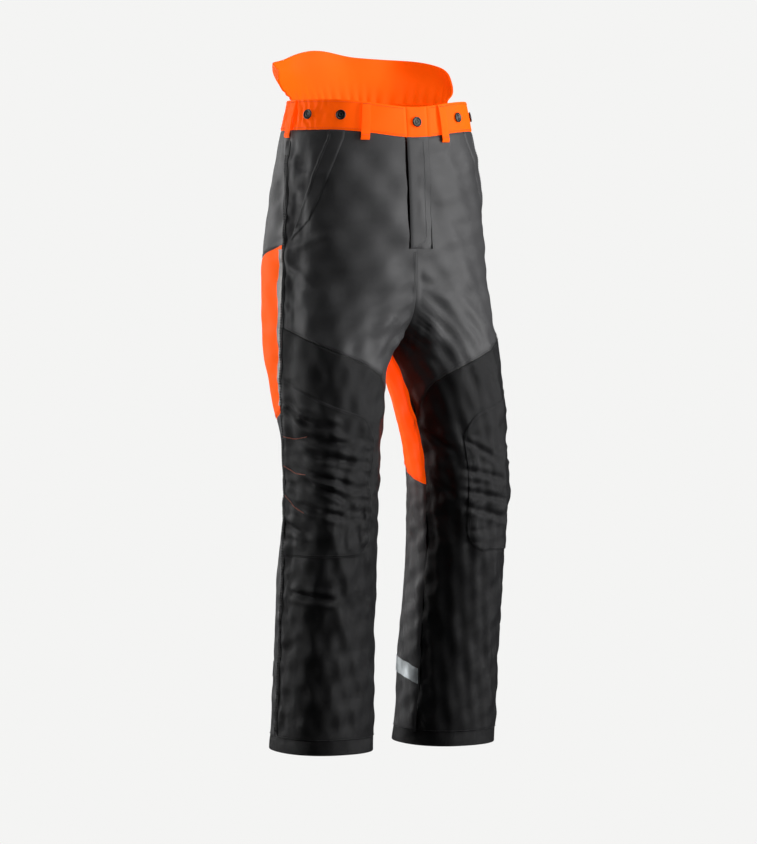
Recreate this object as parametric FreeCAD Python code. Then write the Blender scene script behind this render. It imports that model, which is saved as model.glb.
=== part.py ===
import FreeCAD, Part
import math
import os

# Protective forestry trousers with a high back: sewn panels over saw protection inserts.
# All sizes are in millimetres and all angles in degrees.
# The origin is the centre of the waist opening, 6 mm under the waistband's top edge over
# the side seams. -Y is the front, -X is the wearer's right and +Z is up.

Vector = FreeCAD.Vector
ORIGIN = Vector(0, 0, 0)
X_AXIS = Vector(1, 0, 0)
Y_AXIS = Vector(0, 1, 0)
Z_AXIS = Vector(0, 0, 1)

# ---------------------------------------------------------------- driving dimensions
CROTCH_Z = -400.0
KNEE_Z = -645.0
HEM_Z = -1074.0
SQUARENESS = 2.3            # exponent of the rounded oval that each level is
BAND_HEIGHT = 50.0
BAND_TOP_Z = 6.0            # top of the band at the sides and the back
FRONT_DIP = 12.0            # the band dips by this much at the front centre
DIP_SHARPNESS = 8

FABRIC = 2.0                # outer shell with its lining
BAND_THICKNESS = 3.0
INSERT_DEPTH = 3.0          # saw protection lies this far under the outer surface
INSERT_THICKNESS = 5.0
SEAM_GAP = 0.8              # half of the gap between two neighbouring panels
SEAM_ANGLE = 0.3

# Outline of the garment: height, reach of the outer side from the mid plane,
# half of the depth, and the middle of the depth.
OUTLINE = (
    (0.0, 156.0, 112.0, 0.0),
    (-120.0, 181.0, 128.0, 3.0),
    (-270.0, 194.0, 141.0, 8.0),
    (CROTCH_Z, 200.0, 121.0, -11.0),
    (-540.0, 203.0, 96.0, -50.0),
    (KNEE_Z, 206.0, 90.0, -62.0),
    (-850.0, 201.0, 86.0, -38.0),
    (HEM_Z, 200.0, 90.0, -18.0),
)
# Distance from the mid plane to the centre of a leg: it grows from nothing above the hips.
LEG_CENTRE = (
    (0.0, 0.0),
    (-180.0, 0.0),
    (-290.0, 26.0),
    (CROTCH_Z, 100.0),
    (-540.0, 121.0),
    (KNEE_Z, 128.5),
    (-850.0, 122.5),
    (HEM_Z, 118.5),
)
SIDE_SEAM = -88.0           # angle from the front of the leg, negative towards the outside
FULL_TURN = 360.0

# Seams that run down the leg: height, angle.
SIDE_LINE = (
    (-60.0, SIDE_SEAM),
    (-160.0, -82.0),
    (-358.0, -81.0),
    (-512.0, -94.0),
    (KNEE_Z, -99.0),
    (-800.0, -96.0),
    (HEM_Z, -97.0),
)
INSEAM = ((CROTCH_Z, 84.0), (-540.0, 79.0), (KNEE_Z, 79.0), (-850.0, 69.5), (HEM_Z, 66.0))

# Seams that run round the leg: angle, height.
SEAT_SEAM = ((-273.0, -345.0), (-180.0, -300.0), (SIDE_SEAM, -233.0))
GREY_SEAM = (
    (SIDE_SEAM, -360.0),
    (-30.0, -406.0),
    (20.0, -439.0),
    (47.0, -463.0),
    (63.0, -490.0),
    (90.0, -552.0),
)
KNEE_TOP_SEAM = ((SIDE_SEAM, -447.0), (-30.0, -493.0), (5.0, -512.0), (26.0, -531.0), (90.0, -566.0))
ORANGE_SEAM = ((-285.0, -634.0), (-250.0, -620.0), (-180.0, -568.0), (-110.0, -512.0), (SIDE_SEAM, -500.0))
KNEE_INNER_ANGLE = 26.0
KNEE_CORNER_ANGLE = 12.0
KNEE_BOTTOM_Z = -745.0
SHIN_TOP_GAP = 3.5
KNEE_FOLD_END_Z = -716.0    # under this level the leg keeps its shape when the knee bends
HEM_TOP_Z = -1050.0
HEM_THICKNESS = 3.2

# Fly and front closure.
FLY_EDGE_X = -11.0
FLY_HINGE_X = 30.0
FLY_BOTTOM_Z = -240.0
FLY_GAP = 1.0
TAB_EDGE_X = -9.0
TAB_THICKNESS = 2.6
UNDERLAP_DEPTH = 3.6
UNDERLAP_LEFT_X = 24.0
UNDERLAP_RIGHT_X = -30.0
UNDERLAP_THICKNESS = 2.4
FLAP_AXIS_CLEARANCE = 2.2   # the flap turns on a line this far outside the fly's chord

# Zip, in its own frame: x across, y into the body, z up along the zip.
ZIP_X = 3.0
ZIP_DEPTH = 10.0
ZIP_TOP_Z = -70.0
ZIP_LENGTH = 165.0
ZIP_TRAVEL = 146.0
TOOTH_PITCH = 3.0
TOOTH_WIDTH = 2.0
TOOTH_HEIGHT = 1.4
TOOTH_THICKNESS = 2.2
ROW_GAP = 1.2
TAPE_WIDTH = 12.0
TAPE_THICKNESS = 0.8
SLIDER_WIDTH = 10.0
SLIDER_HEIGHT = 11.0
SLIDER_PLATE = 0.9
SLIDER_ROOM = 3.0
LUG_PIN_RADIUS = 0.88
LUG_HOLE_RADIUS = 0.95
PULLER_LENGTH = 22.0
PULLER_WIDTH = 6.0
PULLER_THICKNESS = 1.0
SHIELD_DEPTH = 15.0
SHIELD_THICKNESS = 1.5

# Buttons and belt loops: angle round the waist.
BUTTON_RADIUS = 8.5
BUTTON_HEAD = 3.0
BUTTON_STEM_RADIUS = 2.5
BUTTON_GAP = 1.1
BUTTON_DROP = 25.5
BRACE_BUTTON_ANGLES = (-69.0, -44.5, 36.0, 66.0, -150.0, -210.0)
TACK_RADIUS = 6.0
TACK_THICKNESS = 1.0
STEM_CLEARANCE = 0.4
CLOSURE_X = 8.0
CLOSURE_DROP = 25.0
BUTTONHOLE_RADIUS = 9.35
LOOP_WIDTH = 15.0
LOOP_THICKNESS = 2.0
LOOP_ROOM = 6.2
LOOP_FOOT = 0.8
LOOP_DROP = 62.0
BELT_LOOPS = {
    "belt_loop_front_right": -29.0,
    "belt_loop_front_left": 21.5,
    "belt_loop_side_right": -90.0,
    "belt_loop_side_left": 90.0,
    "belt_loop_back_right": -142.0,
    "belt_loop_back_left": 142.0,
    "belt_loop_back_centre": 180.0,
}

# High back panel.
HIGH_BACK_RIGHT_END = (-136.0, -109.0)     # angle of the end at its foot and at its top
HIGH_BACK_LEFT_END = (-256.0, -261.0)
HIGH_BACK_TOP = (                          # angle, height
    (-261.0, 36.0),
    (-254.0, 55.0),
    (-243.0, 69.0),
    (-225.0, 79.0),
    (-190.0, 85.0),
    (-164.0, 95.0),
    (-141.0, 78.0),
    (-118.0, 67.0),
    (-109.0, 56.0),
)
HIGH_BACK_FLARE = 0.21                     # the panel leans outwards by this share of its height
HIGH_BACK_THICKNESS = 3.0

# Pockets.
POCKET_MOUTH = ((-58.0, -52.0), (-136.0, -61.0), (-228.0, -74.5))
WELT_ANGLE = 11.0
WELT_THICKNESS = 1.2
SURFACE_GAP = 0.4
BAG_DEPTH = 9.0
BAG_THICKNESS = 3.5
BACK_POCKET_ANGLES = (-137.0, -176.0)
BACK_POCKET_TOP_Z = -98.0
BACK_POCKET_BOTTOM_Z = -240.0
BACK_POCKET_THICKNESS = 2.2
POCKET_FLAP_HEIGHT = 52.0
POCKET_FLAP_MARGIN = 1.5
POCKET_FLAP_GAP = 1.2

# Reflective trim.
PIPING_ANGLES = (1.5, 6.5)          # both edges, counted backwards from the side seam
PIPING_TOP_Z = -240.0
PIPING_BOTTOM_Z = -496.0
TRIM_THICKNESS = 0.8
BAND_STRIP_HEIGHT = 26.0
BAND_STRIP_START = -126.0
BAND_STRIP_TOP = ((-294.0, -945.0), (-250.0, -931.0), (-180.0, -922.0), (SIDE_SEAM, -930.0))

# Saw protection.
INSERT_TOP_Z = -264.0
INSERT_BOTTOM_Z = -1022.0
INSERT_KNEE_TOP_Z = -562.0
INSERT_OUTER_ANGLE = -72.0
INSERT_INNER_ANGLE = 66.0
INSERT_EDGE_MARGIN = 2.0


# ---------------------------------------------------------------- shape of the garment
def smooth(stations, place, column=1):
    """Value at a place on a smooth line through a few stations."""
    rows = sorted(stations)
    if place <= rows[0][0]:
        return rows[0][column]
    if place >= rows[-1][0]:
        return rows[-1][column]
    index = next(i for i in range(len(rows) - 1) if place <= rows[i + 1][0])
    slopes = []
    for i in (index, index + 1):
        low = rows[max(i - 1, 0)]
        high = rows[min(i + 1, len(rows) - 1)]
        slopes.append((high[column] - low[column]) / (high[0] - low[0]))
    start, end = rows[index], rows[index + 1]
    span = end[0] - start[0]
    t = (place - start[0]) / span
    blend = t * t * (3 - 2 * t)
    value = start[column] + (end[column] - start[column]) * blend
    value += span * slopes[0] * t * (1 - t) ** 2
    value -= span * slopes[1] * t * t * (1 - t)
    return value


def oval(height, depth=0.0):
    """Centre from the mid plane, half width, half depth and middle of the depth."""
    centre = max(0.0, smooth(LEG_CENTRE, height))
    half_width = smooth(OUTLINE, height, 1) - centre - depth
    half_depth = smooth(OUTLINE, height, 2) - depth
    return centre, half_width, half_depth, smooth(OUTLINE, height, 3)


def skin(angle, height, depth=0.0):
    """Point of the right half, this deep under the outer surface."""
    centre, half_width, half_depth, middle = oval(height, depth)
    sine = math.sin(math.radians(angle))
    cosine = math.cos(math.radians(angle))
    reach = (abs(sine) ** SQUARENESS + abs(cosine) ** SQUARENESS) ** (-1 / SQUARENESS)
    return Vector(half_width * reach * sine - centre, middle - half_depth * reach * cosine, height)


def outward(angle, height):
    """Unit vector square to the surface that points out of the garment."""
    step = 0.5
    along = skin(angle + step, height) - skin(angle - step, height)
    up = skin(angle, height + step) - skin(angle, height - step)
    return along.cross(up).normalize()


def angle_at_x(x, height):
    """Angle on the front half where the surface crosses a plane of constant X."""
    centre, half_width, _, _ = oval(height)
    share = max(-1.0, min(1.0, (x + centre) / half_width))
    rest = (1 - abs(share) ** SQUARENESS) ** (1 / SQUARENESS)
    return math.degrees(math.atan2(share, rest))


def side_line(height):
    """Angle of the side seam."""
    return smooth(SIDE_LINE, height)


def beside_side_seam(shift):
    """An edge function that keeps to the side seam, moved forwards by an angle."""
    return lambda height: side_line(height) + shift


def front_edge(height):
    """Inner edge of a front panel: the inseam, which runs on past the mid plane above the crotch."""
    return smooth(INSEAM, height) - SEAM_ANGLE


def back_edge(height):
    """The same edge for a back panel, counted on round the back of the leg."""
    return smooth(INSEAM, height) + SEAM_ANGLE - FULL_TURN


def band_top(angle):
    """Top of the waistband, which dips towards the front centre."""
    facing = max(0.0, math.cos(math.radians(angle)))
    return BAND_TOP_Z - FRONT_DIP * facing ** DIP_SHARPNESS


def band_bottom(angle):
    return band_top(angle) - BAND_HEIGHT


# ---------------------------------------------------------------- solids from surfaces
def mix(a, b, share):
    return a + (b - a) * share


def row_end(left, right, line, s):
    """Height at which a share of the way from left to right meets the upper or lower line."""
    height = line(SIDE_SEAM)
    for _ in range(60):
        height = mix(height, line(mix(left(height), right(height), s)), 0.5)
    return height


def side_heights(edge, start, end):
    """Heights along a side edge, as a function of the share of its length."""
    steps = 300
    heights = [mix(start, end, i / steps) for i in range(steps + 1)]
    points = [skin(edge(z), z) for z in heights]
    lengths = [0.0]
    for before, after in zip(points, points[1:]):
        lengths.append(lengths[-1] + after.distanceToPoint(before))

    def height(t):
        reach = t * lengths[-1]
        i = next((i for i in range(steps) if reach <= lengths[i + 1]), steps - 1)
        share = (reach - lengths[i]) / (lengths[i + 1] - lengths[i])
        return mix(heights[i], heights[i + 1], share)
    return height


def region_point(left, right, top, bottom):
    """Point function of a four-sided region: left and right give angles at a height,
    top and bottom give heights at an angle. Rows run from side to side, evenly spaced
    along both side edges, and bend to follow the upper and lower lines."""
    corners = [row_end(left, right, line, s) for s in (0, 1) for line in (top, bottom)]
    on_left = side_heights(left, corners[0], corners[1])
    on_right = side_heights(right, corners[2], corners[3])

    def point(s, t, depth):
        over = row_end(left, right, top, s) - mix(corners[0], corners[2], s)
        under = row_end(left, right, bottom, s) - mix(corners[1], corners[3], s)
        height = mix(on_left(t), on_right(t), s) + mix(over, under, t)
        angle = mix(left(height), right(height), s)
        return skin(angle, height) - outward(angle, height) * depth
    return point


def spline_surface(point, depth, columns, rows):
    grid = [
        [point(column / columns, row / rows, depth) for column in range(columns + 1)]
        for row in range(rows + 1)
    ]
    surface = Part.BSplineSurface()
    surface.interpolate(grid)
    return surface


def narrow_strip(first, second):
    """Ruled face between two curves: the narrower of the two ways to pair their ends."""
    turned = second.copy()
    turned.reverse()
    strips = [Part.makeRuledSurface(first.toShape(), other.toShape()) for other in (second, turned)]
    return min(strips, key=lambda face: face.Area)


def thin_solid(point, depth, thickness, columns=8, rows=8):
    """Closed solid between two offset surfaces of one region."""
    outer = spline_surface(point, depth, columns, rows)
    inner = spline_surface(point, depth + thickness, columns, rows)
    first_u, last_u, first_v, last_v = outer.bounds()
    faces = [outer.toShape(), inner.toShape()]
    for u in (first_u, last_u):
        faces.append(narrow_strip(outer.uIso(u), inner.uIso(u)))
    for v in (first_v, last_v):
        faces.append(narrow_strip(outer.vIso(v), inner.vIso(v)))
    shell = Part.makeShell(faces)
    shell.sewShape()
    solid = Part.makeSolid(shell)
    if solid.Volume < 0:
        solid.reverse()
    return solid


def panel(left, right, top, bottom, depth=0.0, thickness=FABRIC, columns=8, rows=8):
    return thin_solid(region_point(left, right, top, bottom), depth, thickness, columns, rows)


def right_half(shape):
    """The part of a right-hand shape that lies on its own side of the mid plane."""
    return shape.cut(box((-SEAM_GAP, 400), (-400, 400), (-1200, 200)))


def fixed(value):
    """An edge function that stays at one angle or height."""
    return lambda _: value


def seam(stations, shift=0.0):
    """An edge function that follows a seam line, moved up or down by a gap."""
    return lambda angle: smooth(stations, angle) + shift


def mirrored(shape):
    return shape.mirror(ORIGIN, X_AXIS)


def group(solids):
    return Part.makeCompound(solids)


def box(x_range, y_range, z_range):
    size = [high - low for low, high in (x_range, y_range, z_range)]
    return Part.makeBox(*size, Vector(x_range[0], y_range[0], z_range[0]))


def write(node, shape):
    for solid in shape.Solids:
        if not solid.isValid() or solid.Volume <= 0:
            print("BAD SOLID in", node, solid.Volume)
    shape.exportStep(f"parts/{node}.step")


def write_pair(name, shape):
    write(f"{name}_right", shape)
    write(f"{name}_left", mirrored(shape))


# ---------------------------------------------------------------- waist
def button_axis(angle, drop):
    """Foot of a button on the band's outer surface, and the way that it points."""
    height = band_top(angle) - drop
    return skin(angle, height), outward(angle, height)


def stem(angle, drop, radius):
    foot, normal = button_axis(angle, drop)
    reach = 20.0
    return Part.makeCylinder(radius, 2 * reach, foot - normal * reach, normal)


def with_stem_holes(band):
    for angle in BRACE_BUTTON_ANGLES:
        band = band.cut(stem(angle, BUTTON_DROP, BUTTON_STEM_RADIUS + STEM_CLEARANCE))
    return band


def button(angle, drop, stem_start):
    """Round button: a dished head on a stem that begins under the band."""
    foot, normal = button_axis(angle, drop)
    head_base = foot + normal * BUTTON_GAP
    head = Part.makeCylinder(BUTTON_RADIUS, BUTTON_HEAD, head_base, normal)
    rim = 1.6
    dish = Part.makeCylinder(BUTTON_RADIUS - rim, rim, head_base + normal * (BUTTON_HEAD - 0.8), normal)
    length = stem_start + BUTTON_GAP
    shaft = Part.makeCylinder(BUTTON_STEM_RADIUS, length, foot - normal * stem_start, normal)
    return head.cut(dish).fuse(shaft).removeSplitter()


def tack(angle, drop, depth):
    """Back plate of a button, inside the band."""
    foot, normal = button_axis(angle, drop)
    base = foot - normal * (depth + TACK_THICKNESS)
    return Part.makeCylinder(TACK_RADIUS, TACK_THICKNESS, base, normal)


def make_waistband():
    right = panel(fixed(SIDE_SEAM + SEAM_ANGLE), lambda z: angle_at_x(TAB_EDGE_X - FLY_GAP, z),
                  band_top, band_bottom, 0, BAND_THICKNESS, 12, 4)
    left = panel(lambda z: angle_at_x(FLY_HINGE_X + FLY_GAP, z), fixed(-SIDE_SEAM - SEAM_ANGLE),
                 band_top, band_bottom, 0, BAND_THICKNESS, 12, 4)
    back = panel(fixed(SIDE_SEAM - SEAM_ANGLE), fixed(-FULL_TURN - SIDE_SEAM + SEAM_ANGLE),
                 band_top, band_bottom, 0, BAND_THICKNESS, 24, 4)
    write("waistband_right", with_stem_holes(right))
    write("waistband_left", with_stem_holes(left))
    write("waistband_back", with_stem_holes(back))


def make_waistband_underlap():
    """End of the right band that lies under the tab and carries the closure button."""
    underlap = panel(lambda z: angle_at_x(UNDERLAP_RIGHT_X, z),
                     lambda z: angle_at_x(UNDERLAP_LEFT_X, z),
                     lambda a: band_top(a) - 1, lambda a: band_bottom(a) + 1,
                     UNDERLAP_DEPTH, UNDERLAP_THICKNESS, 6, 4)
    angle = closure_angle()
    hole = stem(angle, CLOSURE_DROP, BUTTON_STEM_RADIUS + STEM_CLEARANCE)
    write("waistband_underlap", underlap.cut(hole))


def closure_angle():
    return angle_at_x(CLOSURE_X, -CLOSURE_DROP)


def make_waistband_tab():
    """Free end of the left band, with an opening that passes over the button's head."""
    tab = panel(lambda z: angle_at_x(TAB_EDGE_X, z),
                lambda z: angle_at_x(FLY_HINGE_X - FLY_GAP, z),
                band_top, band_bottom, 0, TAB_THICKNESS, 6, 4)
    write("waistband_tab", tab.cut(stem(closure_angle(), CLOSURE_DROP, BUTTONHOLE_RADIUS)))


def make_buttons():
    start = BAND_THICKNESS + SURFACE_GAP
    write("brace_buttons", group([button(a, BUTTON_DROP, start) for a in BRACE_BUTTON_ANGLES]))
    tacks = [tack(a, BUTTON_DROP, start + SURFACE_GAP / 2) for a in BRACE_BUTTON_ANGLES]
    under = UNDERLAP_DEPTH + UNDERLAP_THICKNESS + SURFACE_GAP
    tacks.append(tack(closure_angle(), CLOSURE_DROP, under + SURFACE_GAP / 2))
    write("button_tacks", group(tacks))
    write("closure_button", button(closure_angle(), CLOSURE_DROP, under))


def make_waist_elastic():
    margin = 6.0
    depth = BAND_THICKNESS + 2.0
    elastic = panel(fixed(SIDE_SEAM - 8), fixed(-FULL_TURN - SIDE_SEAM + 8),
                    lambda a: band_top(a) - margin, lambda a: band_bottom(a) + margin,
                    depth, 1.2, 24, 4)
    write("waist_elastic", elastic)


def belt_loop(angle):
    """Strap that stands off the band, so that a belt passes behind it."""
    top = band_top(angle) - 1
    foot = skin(angle, top - LOOP_DROP)
    head = skin(angle, top)
    up = (head - foot).normalize()
    length = (head - foot).Length
    tangent = up.cross(outward(angle, band_bottom(angle))).normalize()
    normal = tangent.cross(up)
    inner = LOOP_FOOT
    outer = inner + LOOP_ROOM
    corners = (
        (inner, length), (outer + LOOP_THICKNESS, length),
        (outer + LOOP_THICKNESS, 0), (inner, 0),
        (inner, LOOP_THICKNESS), (outer, LOOP_THICKNESS),
        (outer, length - LOOP_THICKNESS), (inner, length - LOOP_THICKNESS),
    )
    start = foot - tangent * (LOOP_WIDTH / 2)
    points = [start + normal * out + up * rise for out, rise in corners]
    face = Part.Face(Part.makePolygon(points + points[:1]))
    return face.extrude(tangent * LOOP_WIDTH)


def make_belt_loops():
    for node, angle in BELT_LOOPS.items():
        write(node, belt_loop(angle))


def high_back_point(s, t, depth):
    """The panel leans outwards, spreads from its foot and droops towards the wearer's left."""
    spread = math.sin(math.pi / 2 * t)
    angle = mix(mix(*HIGH_BACK_RIGHT_END, spread), mix(*HIGH_BACK_LEFT_END, spread), s)
    over = mix(HIGH_BACK_RIGHT_END[1], HIGH_BACK_LEFT_END[1], s)
    base = BAND_TOP_Z + SURFACE_GAP
    height = mix(base, smooth(HIGH_BACK_TOP, over), t)
    point = skin(angle, 0, depth - HIGH_BACK_FLARE * (height - base))
    return Vector(point.x, point.y, height)


def make_high_back_panel():
    write("high_back_panel", thin_solid(high_back_point, 0, HIGH_BACK_THICKNESS, 48, 6))


# ---------------------------------------------------------------- upper panels and fly
def fly_window(left_x, right_x):
    """Space that the fly takes out of the front panels."""
    return box((left_x, right_x), (-200, 0), (FLY_BOTTOM_Z - FLY_GAP, 50))


def make_front_upper():
    front = panel(beside_side_seam(SEAM_ANGLE), front_edge,
                  lambda a: band_bottom(a) - 2 * SEAM_GAP, seam(GREY_SEAM, SEAM_GAP),
                  columns=28, rows=22)
    front = right_half(front)
    right = front.cut(fly_window(FLY_EDGE_X - FLY_GAP, 50))
    left = mirrored(front).cut(fly_window(-50, FLY_HINGE_X + FLY_GAP))
    write("front_upper_right", right)
    write("front_upper_left", left)


def make_seat():
    seat = panel(beside_side_seam(-SEAM_ANGLE), back_edge,
                 lambda a: band_bottom(a) - 2 * SEAM_GAP, seam(SEAT_SEAM, SEAM_GAP),
                 columns=20, rows=14)
    write_pair("seat", right_half(seat))


def make_fly_placket():
    placket = panel(lambda z: angle_at_x(FLY_EDGE_X, z),
                    lambda z: angle_at_x(FLY_HINGE_X - FLY_GAP, z),
                    lambda a: band_bottom(a) - 2 * SEAM_GAP, fixed(FLY_BOTTOM_Z + FLY_GAP),
                    0, FABRIC, 5, 12)
    write("fly_placket", placket)


def make_fly_shield():
    shield = panel(lambda z: angle_at_x(-18, z), lambda z: angle_at_x(24, z),
                   lambda a: band_bottom(a) - 4, fixed(FLY_BOTTOM_Z - 10),
                   SHIELD_DEPTH, SHIELD_THICKNESS, 5, 12)
    write("fly_shield", shield)


# ---------------------------------------------------------------- zip
def zip_line():
    """Top of the zip and its lean: the zip is straight and follows the fly's chord."""
    bottom_z = ZIP_TOP_Z - ZIP_LENGTH
    top = skin(0, ZIP_TOP_Z, ZIP_DEPTH)
    bottom = skin(0, bottom_z, ZIP_DEPTH)
    lean = math.degrees(math.atan2(top.y - bottom.y, ZIP_LENGTH))
    return Vector(ZIP_X, top.y, ZIP_TOP_Z), lean


def on_zip(shape):
    """Place a shape that was made in the zip's own frame."""
    top, lean = zip_line()
    shape.rotate(ORIGIN, X_AXIS, -lean)
    shape.translate(top)
    return shape


def make_zip_tapes():
    tapes = []
    for side in (-1, 1):
        start = side * (ROW_GAP / 2 + TOOTH_WIDTH / 2)
        end = side * (ROW_GAP / 2 + TAPE_WIDTH)
        tapes.append(box((min(start, end), max(start, end)),
                         (-TAPE_THICKNESS / 2, TAPE_THICKNESS / 2), (-ZIP_LENGTH, 0)))
    return tapes


def zip_teeth(tapes):
    """Two rows of teeth, each cut to sit round the edge of its tape."""
    teeth = []
    count = int((ZIP_LENGTH - 12) / TOOTH_PITCH)
    for index in range(count):
        z = -6 - index * TOOTH_PITCH
        for side in (-1, 1):
            low = side * ROW_GAP / 2
            high = side * (ROW_GAP / 2 + TOOTH_WIDTH)
            tooth = box((min(low, high), max(low, high)),
                        (-TOOTH_THICKNESS / 2, TOOTH_THICKNESS / 2),
                        (z - TOOTH_HEIGHT - (side + 1) * TOOTH_PITCH / 4, z - (side + 1) * TOOTH_PITCH / 4))
            teeth.append(tooth.cut(tapes[(side + 1) // 2]))
    return teeth


def zip_stops():
    """Bottom bar across both rows, and a stop over each row at the top."""
    half = ROW_GAP / 2 + TOOTH_WIDTH
    depth = (TAPE_THICKNESS / 2 + 0.1, TAPE_THICKNESS / 2 + 1.1)
    bottom = box((-half, half), depth, (-ZIP_LENGTH + 1, -ZIP_LENGTH + 4))
    tops = [box((min(s * half, s * 0.8), max(s * half, s * 0.8)), depth, (-2.5, -0.5)) for s in (-1, 1)]
    return [bottom] + tops


def slider_at_rest():
    """Slider of the zip: two plates, the bridge between them, side flanges and a lug."""
    top = -5.0
    bottom = top - SLIDER_HEIGHT
    half = SLIDER_WIDTH / 2
    inside = SLIDER_ROOM / 2
    outside = inside + SLIDER_PLATE
    front = box((-half, half), (-outside, -inside), (bottom, top))
    back = box((-half, half), (inside, outside), (bottom, top))
    bridge = box((-ROW_GAP / 3, ROW_GAP / 3), (-inside, inside), (top - 3, top))
    flanges = []
    tape_side = TAPE_THICKNESS / 2 + 0.4
    for side in (-1, 1):
        x_range = (min(side * half, side * (half - 1)), max(side * half, side * (half - 1)))
        flanges.append(box(x_range, (-inside, -tape_side), (bottom, top)))
        flanges.append(box(x_range, (tape_side, inside), (bottom, top)))
    lug = box((-1, 1), (-outside - 2.4, -outside), (top - 7.5, top - 3.5))
    hole = Part.makeCylinder(LUG_HOLE_RADIUS, 4, lug_centre() - X_AXIS * 2, X_AXIS)
    slider = front.multiFuse([back, bridge, lug] + flanges)
    return slider.cut(hole).removeSplitter()


def lug_centre():
    outside = SLIDER_ROOM / 2 + SLIDER_PLATE
    return Vector(0, -outside - 1.3, -5.0 - 5.5)


def puller_at_rest():
    """Tag that hangs from the lug on a short pin."""
    centre = lug_centre()
    half = PULLER_WIDTH / 2
    y_range = (centre.y - PULLER_THICKNESS / 2, centre.y + PULLER_THICKNESS / 2)
    tag = box((-half, half), y_range, (centre.z - PULLER_LENGTH, centre.z + LUG_PIN_RADIUS))
    window = box((-1.5, 1.5), (y_range[0] - 1, y_range[1] + 1), (centre.z - 3.2, centre.z + 3))
    eye = box((-1.3, 1.3), (y_range[0] - 1, y_range[1] + 1),
              (centre.z - PULLER_LENGTH + 3, centre.z - PULLER_LENGTH + 9))
    pin = Part.makeCylinder(LUG_PIN_RADIUS, 3.4, centre - X_AXIS * 1.7, X_AXIS)
    return tag.cut(window).cut(eye).fuse(pin).removeSplitter()


def make_zip():
    tapes = make_zip_tapes()
    teeth = zip_teeth(tapes)
    write("zip_teeth", on_zip(group(teeth)))
    write("zip_stops", on_zip(group(zip_stops())))
    write("zip_slider", on_zip(slider_at_rest()))
    write("zip_puller", on_zip(puller_at_rest()))
    write("zip_tapes", on_zip(group(tapes)))


# ---------------------------------------------------------------- pockets
def mouth_angle(height):
    return smooth(POCKET_MOUTH, height)


def make_slash_pockets():
    """Welt along the slanted mouth on the outside, and a flat bag inside."""
    raised = -SURFACE_GAP - WELT_THICKNESS
    top_z, bottom_z = POCKET_MOUTH[0][0], POCKET_MOUTH[-1][0]
    welt = panel(mouth_angle, lambda z: mouth_angle(z) + WELT_ANGLE,
                 fixed(top_z), fixed(bottom_z), raised, WELT_THICKNESS, 4, 10)
    bag = panel(fixed(-80), fixed(-38), fixed(-86), fixed(-318), BAG_DEPTH, BAG_THICKNESS, 8, 12)
    write_pair("pocket_welt", welt)
    write_pair("pocket_bag", bag)


def make_back_pocket():
    raised = -SURFACE_GAP - BACK_POCKET_THICKNESS
    outer, inner = BACK_POCKET_ANGLES
    pocket = panel(fixed(outer), fixed(inner), fixed(BACK_POCKET_TOP_Z), fixed(BACK_POCKET_BOTTOM_Z),
                   raised, BACK_POCKET_THICKNESS, 8, 8)
    flap_depth = raised - POCKET_FLAP_GAP - FABRIC
    flap_top = BACK_POCKET_TOP_Z + 8
    flap = panel(fixed(outer + POCKET_FLAP_MARGIN), fixed(inner - POCKET_FLAP_MARGIN),
                 fixed(flap_top), fixed(flap_top - POCKET_FLAP_HEIGHT), flap_depth, FABRIC, 8, 5)
    write("back_pocket", pocket)
    write("back_pocket_flap", flap)


def pocket_flap_axis():
    """Point on the flap's hinge line and the direction of the line."""
    angle = sum(BACK_POCKET_ANGLES) / 2
    height = BACK_POCKET_TOP_Z + 8
    depth = -SURFACE_GAP - BACK_POCKET_THICKNESS - POCKET_FLAP_GAP - FABRIC - 1
    normal = outward(angle, height)
    return skin(angle, height, depth), Vector(-normal.y, normal.x, 0).normalize()


# ---------------------------------------------------------------- legs
def make_thighs():
    front = panel(beside_side_seam(SEAM_ANGLE), front_edge,
                  seam(GREY_SEAM, -SEAM_GAP), seam(KNEE_TOP_SEAM, SEAM_GAP), columns=24, rows=8)
    back = panel(beside_side_seam(-SEAM_ANGLE), back_edge,
                 seam(SEAT_SEAM, -SEAM_GAP), seam(ORANGE_SEAM, SEAM_GAP), columns=16, rows=20)
    write_pair("front_thigh", front)
    write_pair("back_thigh", right_half(back))


def knee_edge(height):
    """Inner edge of the knee panel: it turns outwards at its lower corner."""
    if height >= KNEE_FOLD_END_Z:
        return KNEE_INNER_ANGLE
    share = (KNEE_FOLD_END_Z - height) / (KNEE_FOLD_END_Z - KNEE_BOTTOM_Z)
    return mix(KNEE_INNER_ANGLE, KNEE_CORNER_ANGLE, share)


def shin_top(angle):
    """Upper edge of the shin panel: under the knee panel, then up beside its corner."""
    share = (angle - KNEE_CORNER_ANGLE) / (KNEE_INNER_ANGLE - KNEE_CORNER_ANGLE)
    return mix(KNEE_BOTTOM_Z, KNEE_FOLD_END_Z, max(0.0, min(1.0, share))) - SHIN_TOP_GAP


def make_knees():
    knee = panel(beside_side_seam(SEAM_ANGLE), lambda z: knee_edge(z) - SEAM_ANGLE,
                 seam(KNEE_TOP_SEAM, -SEAM_GAP), fixed(KNEE_BOTTOM_Z + SEAM_GAP), columns=12, rows=16)
    inner = panel(fixed(KNEE_INNER_ANGLE + SEAM_ANGLE), front_edge,
                  seam(KNEE_TOP_SEAM, -SEAM_GAP), fixed(KNEE_FOLD_END_Z + SEAM_GAP), columns=8, rows=10)
    back = panel(beside_side_seam(-SEAM_ANGLE), back_edge,
                 seam(ORANGE_SEAM, -SEAM_GAP), fixed(KNEE_FOLD_END_Z + SEAM_GAP), columns=16, rows=8)
    write_pair("knee_panel", knee)
    write_pair("inner_knee", inner)
    write_pair("back_knee", back)


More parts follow.
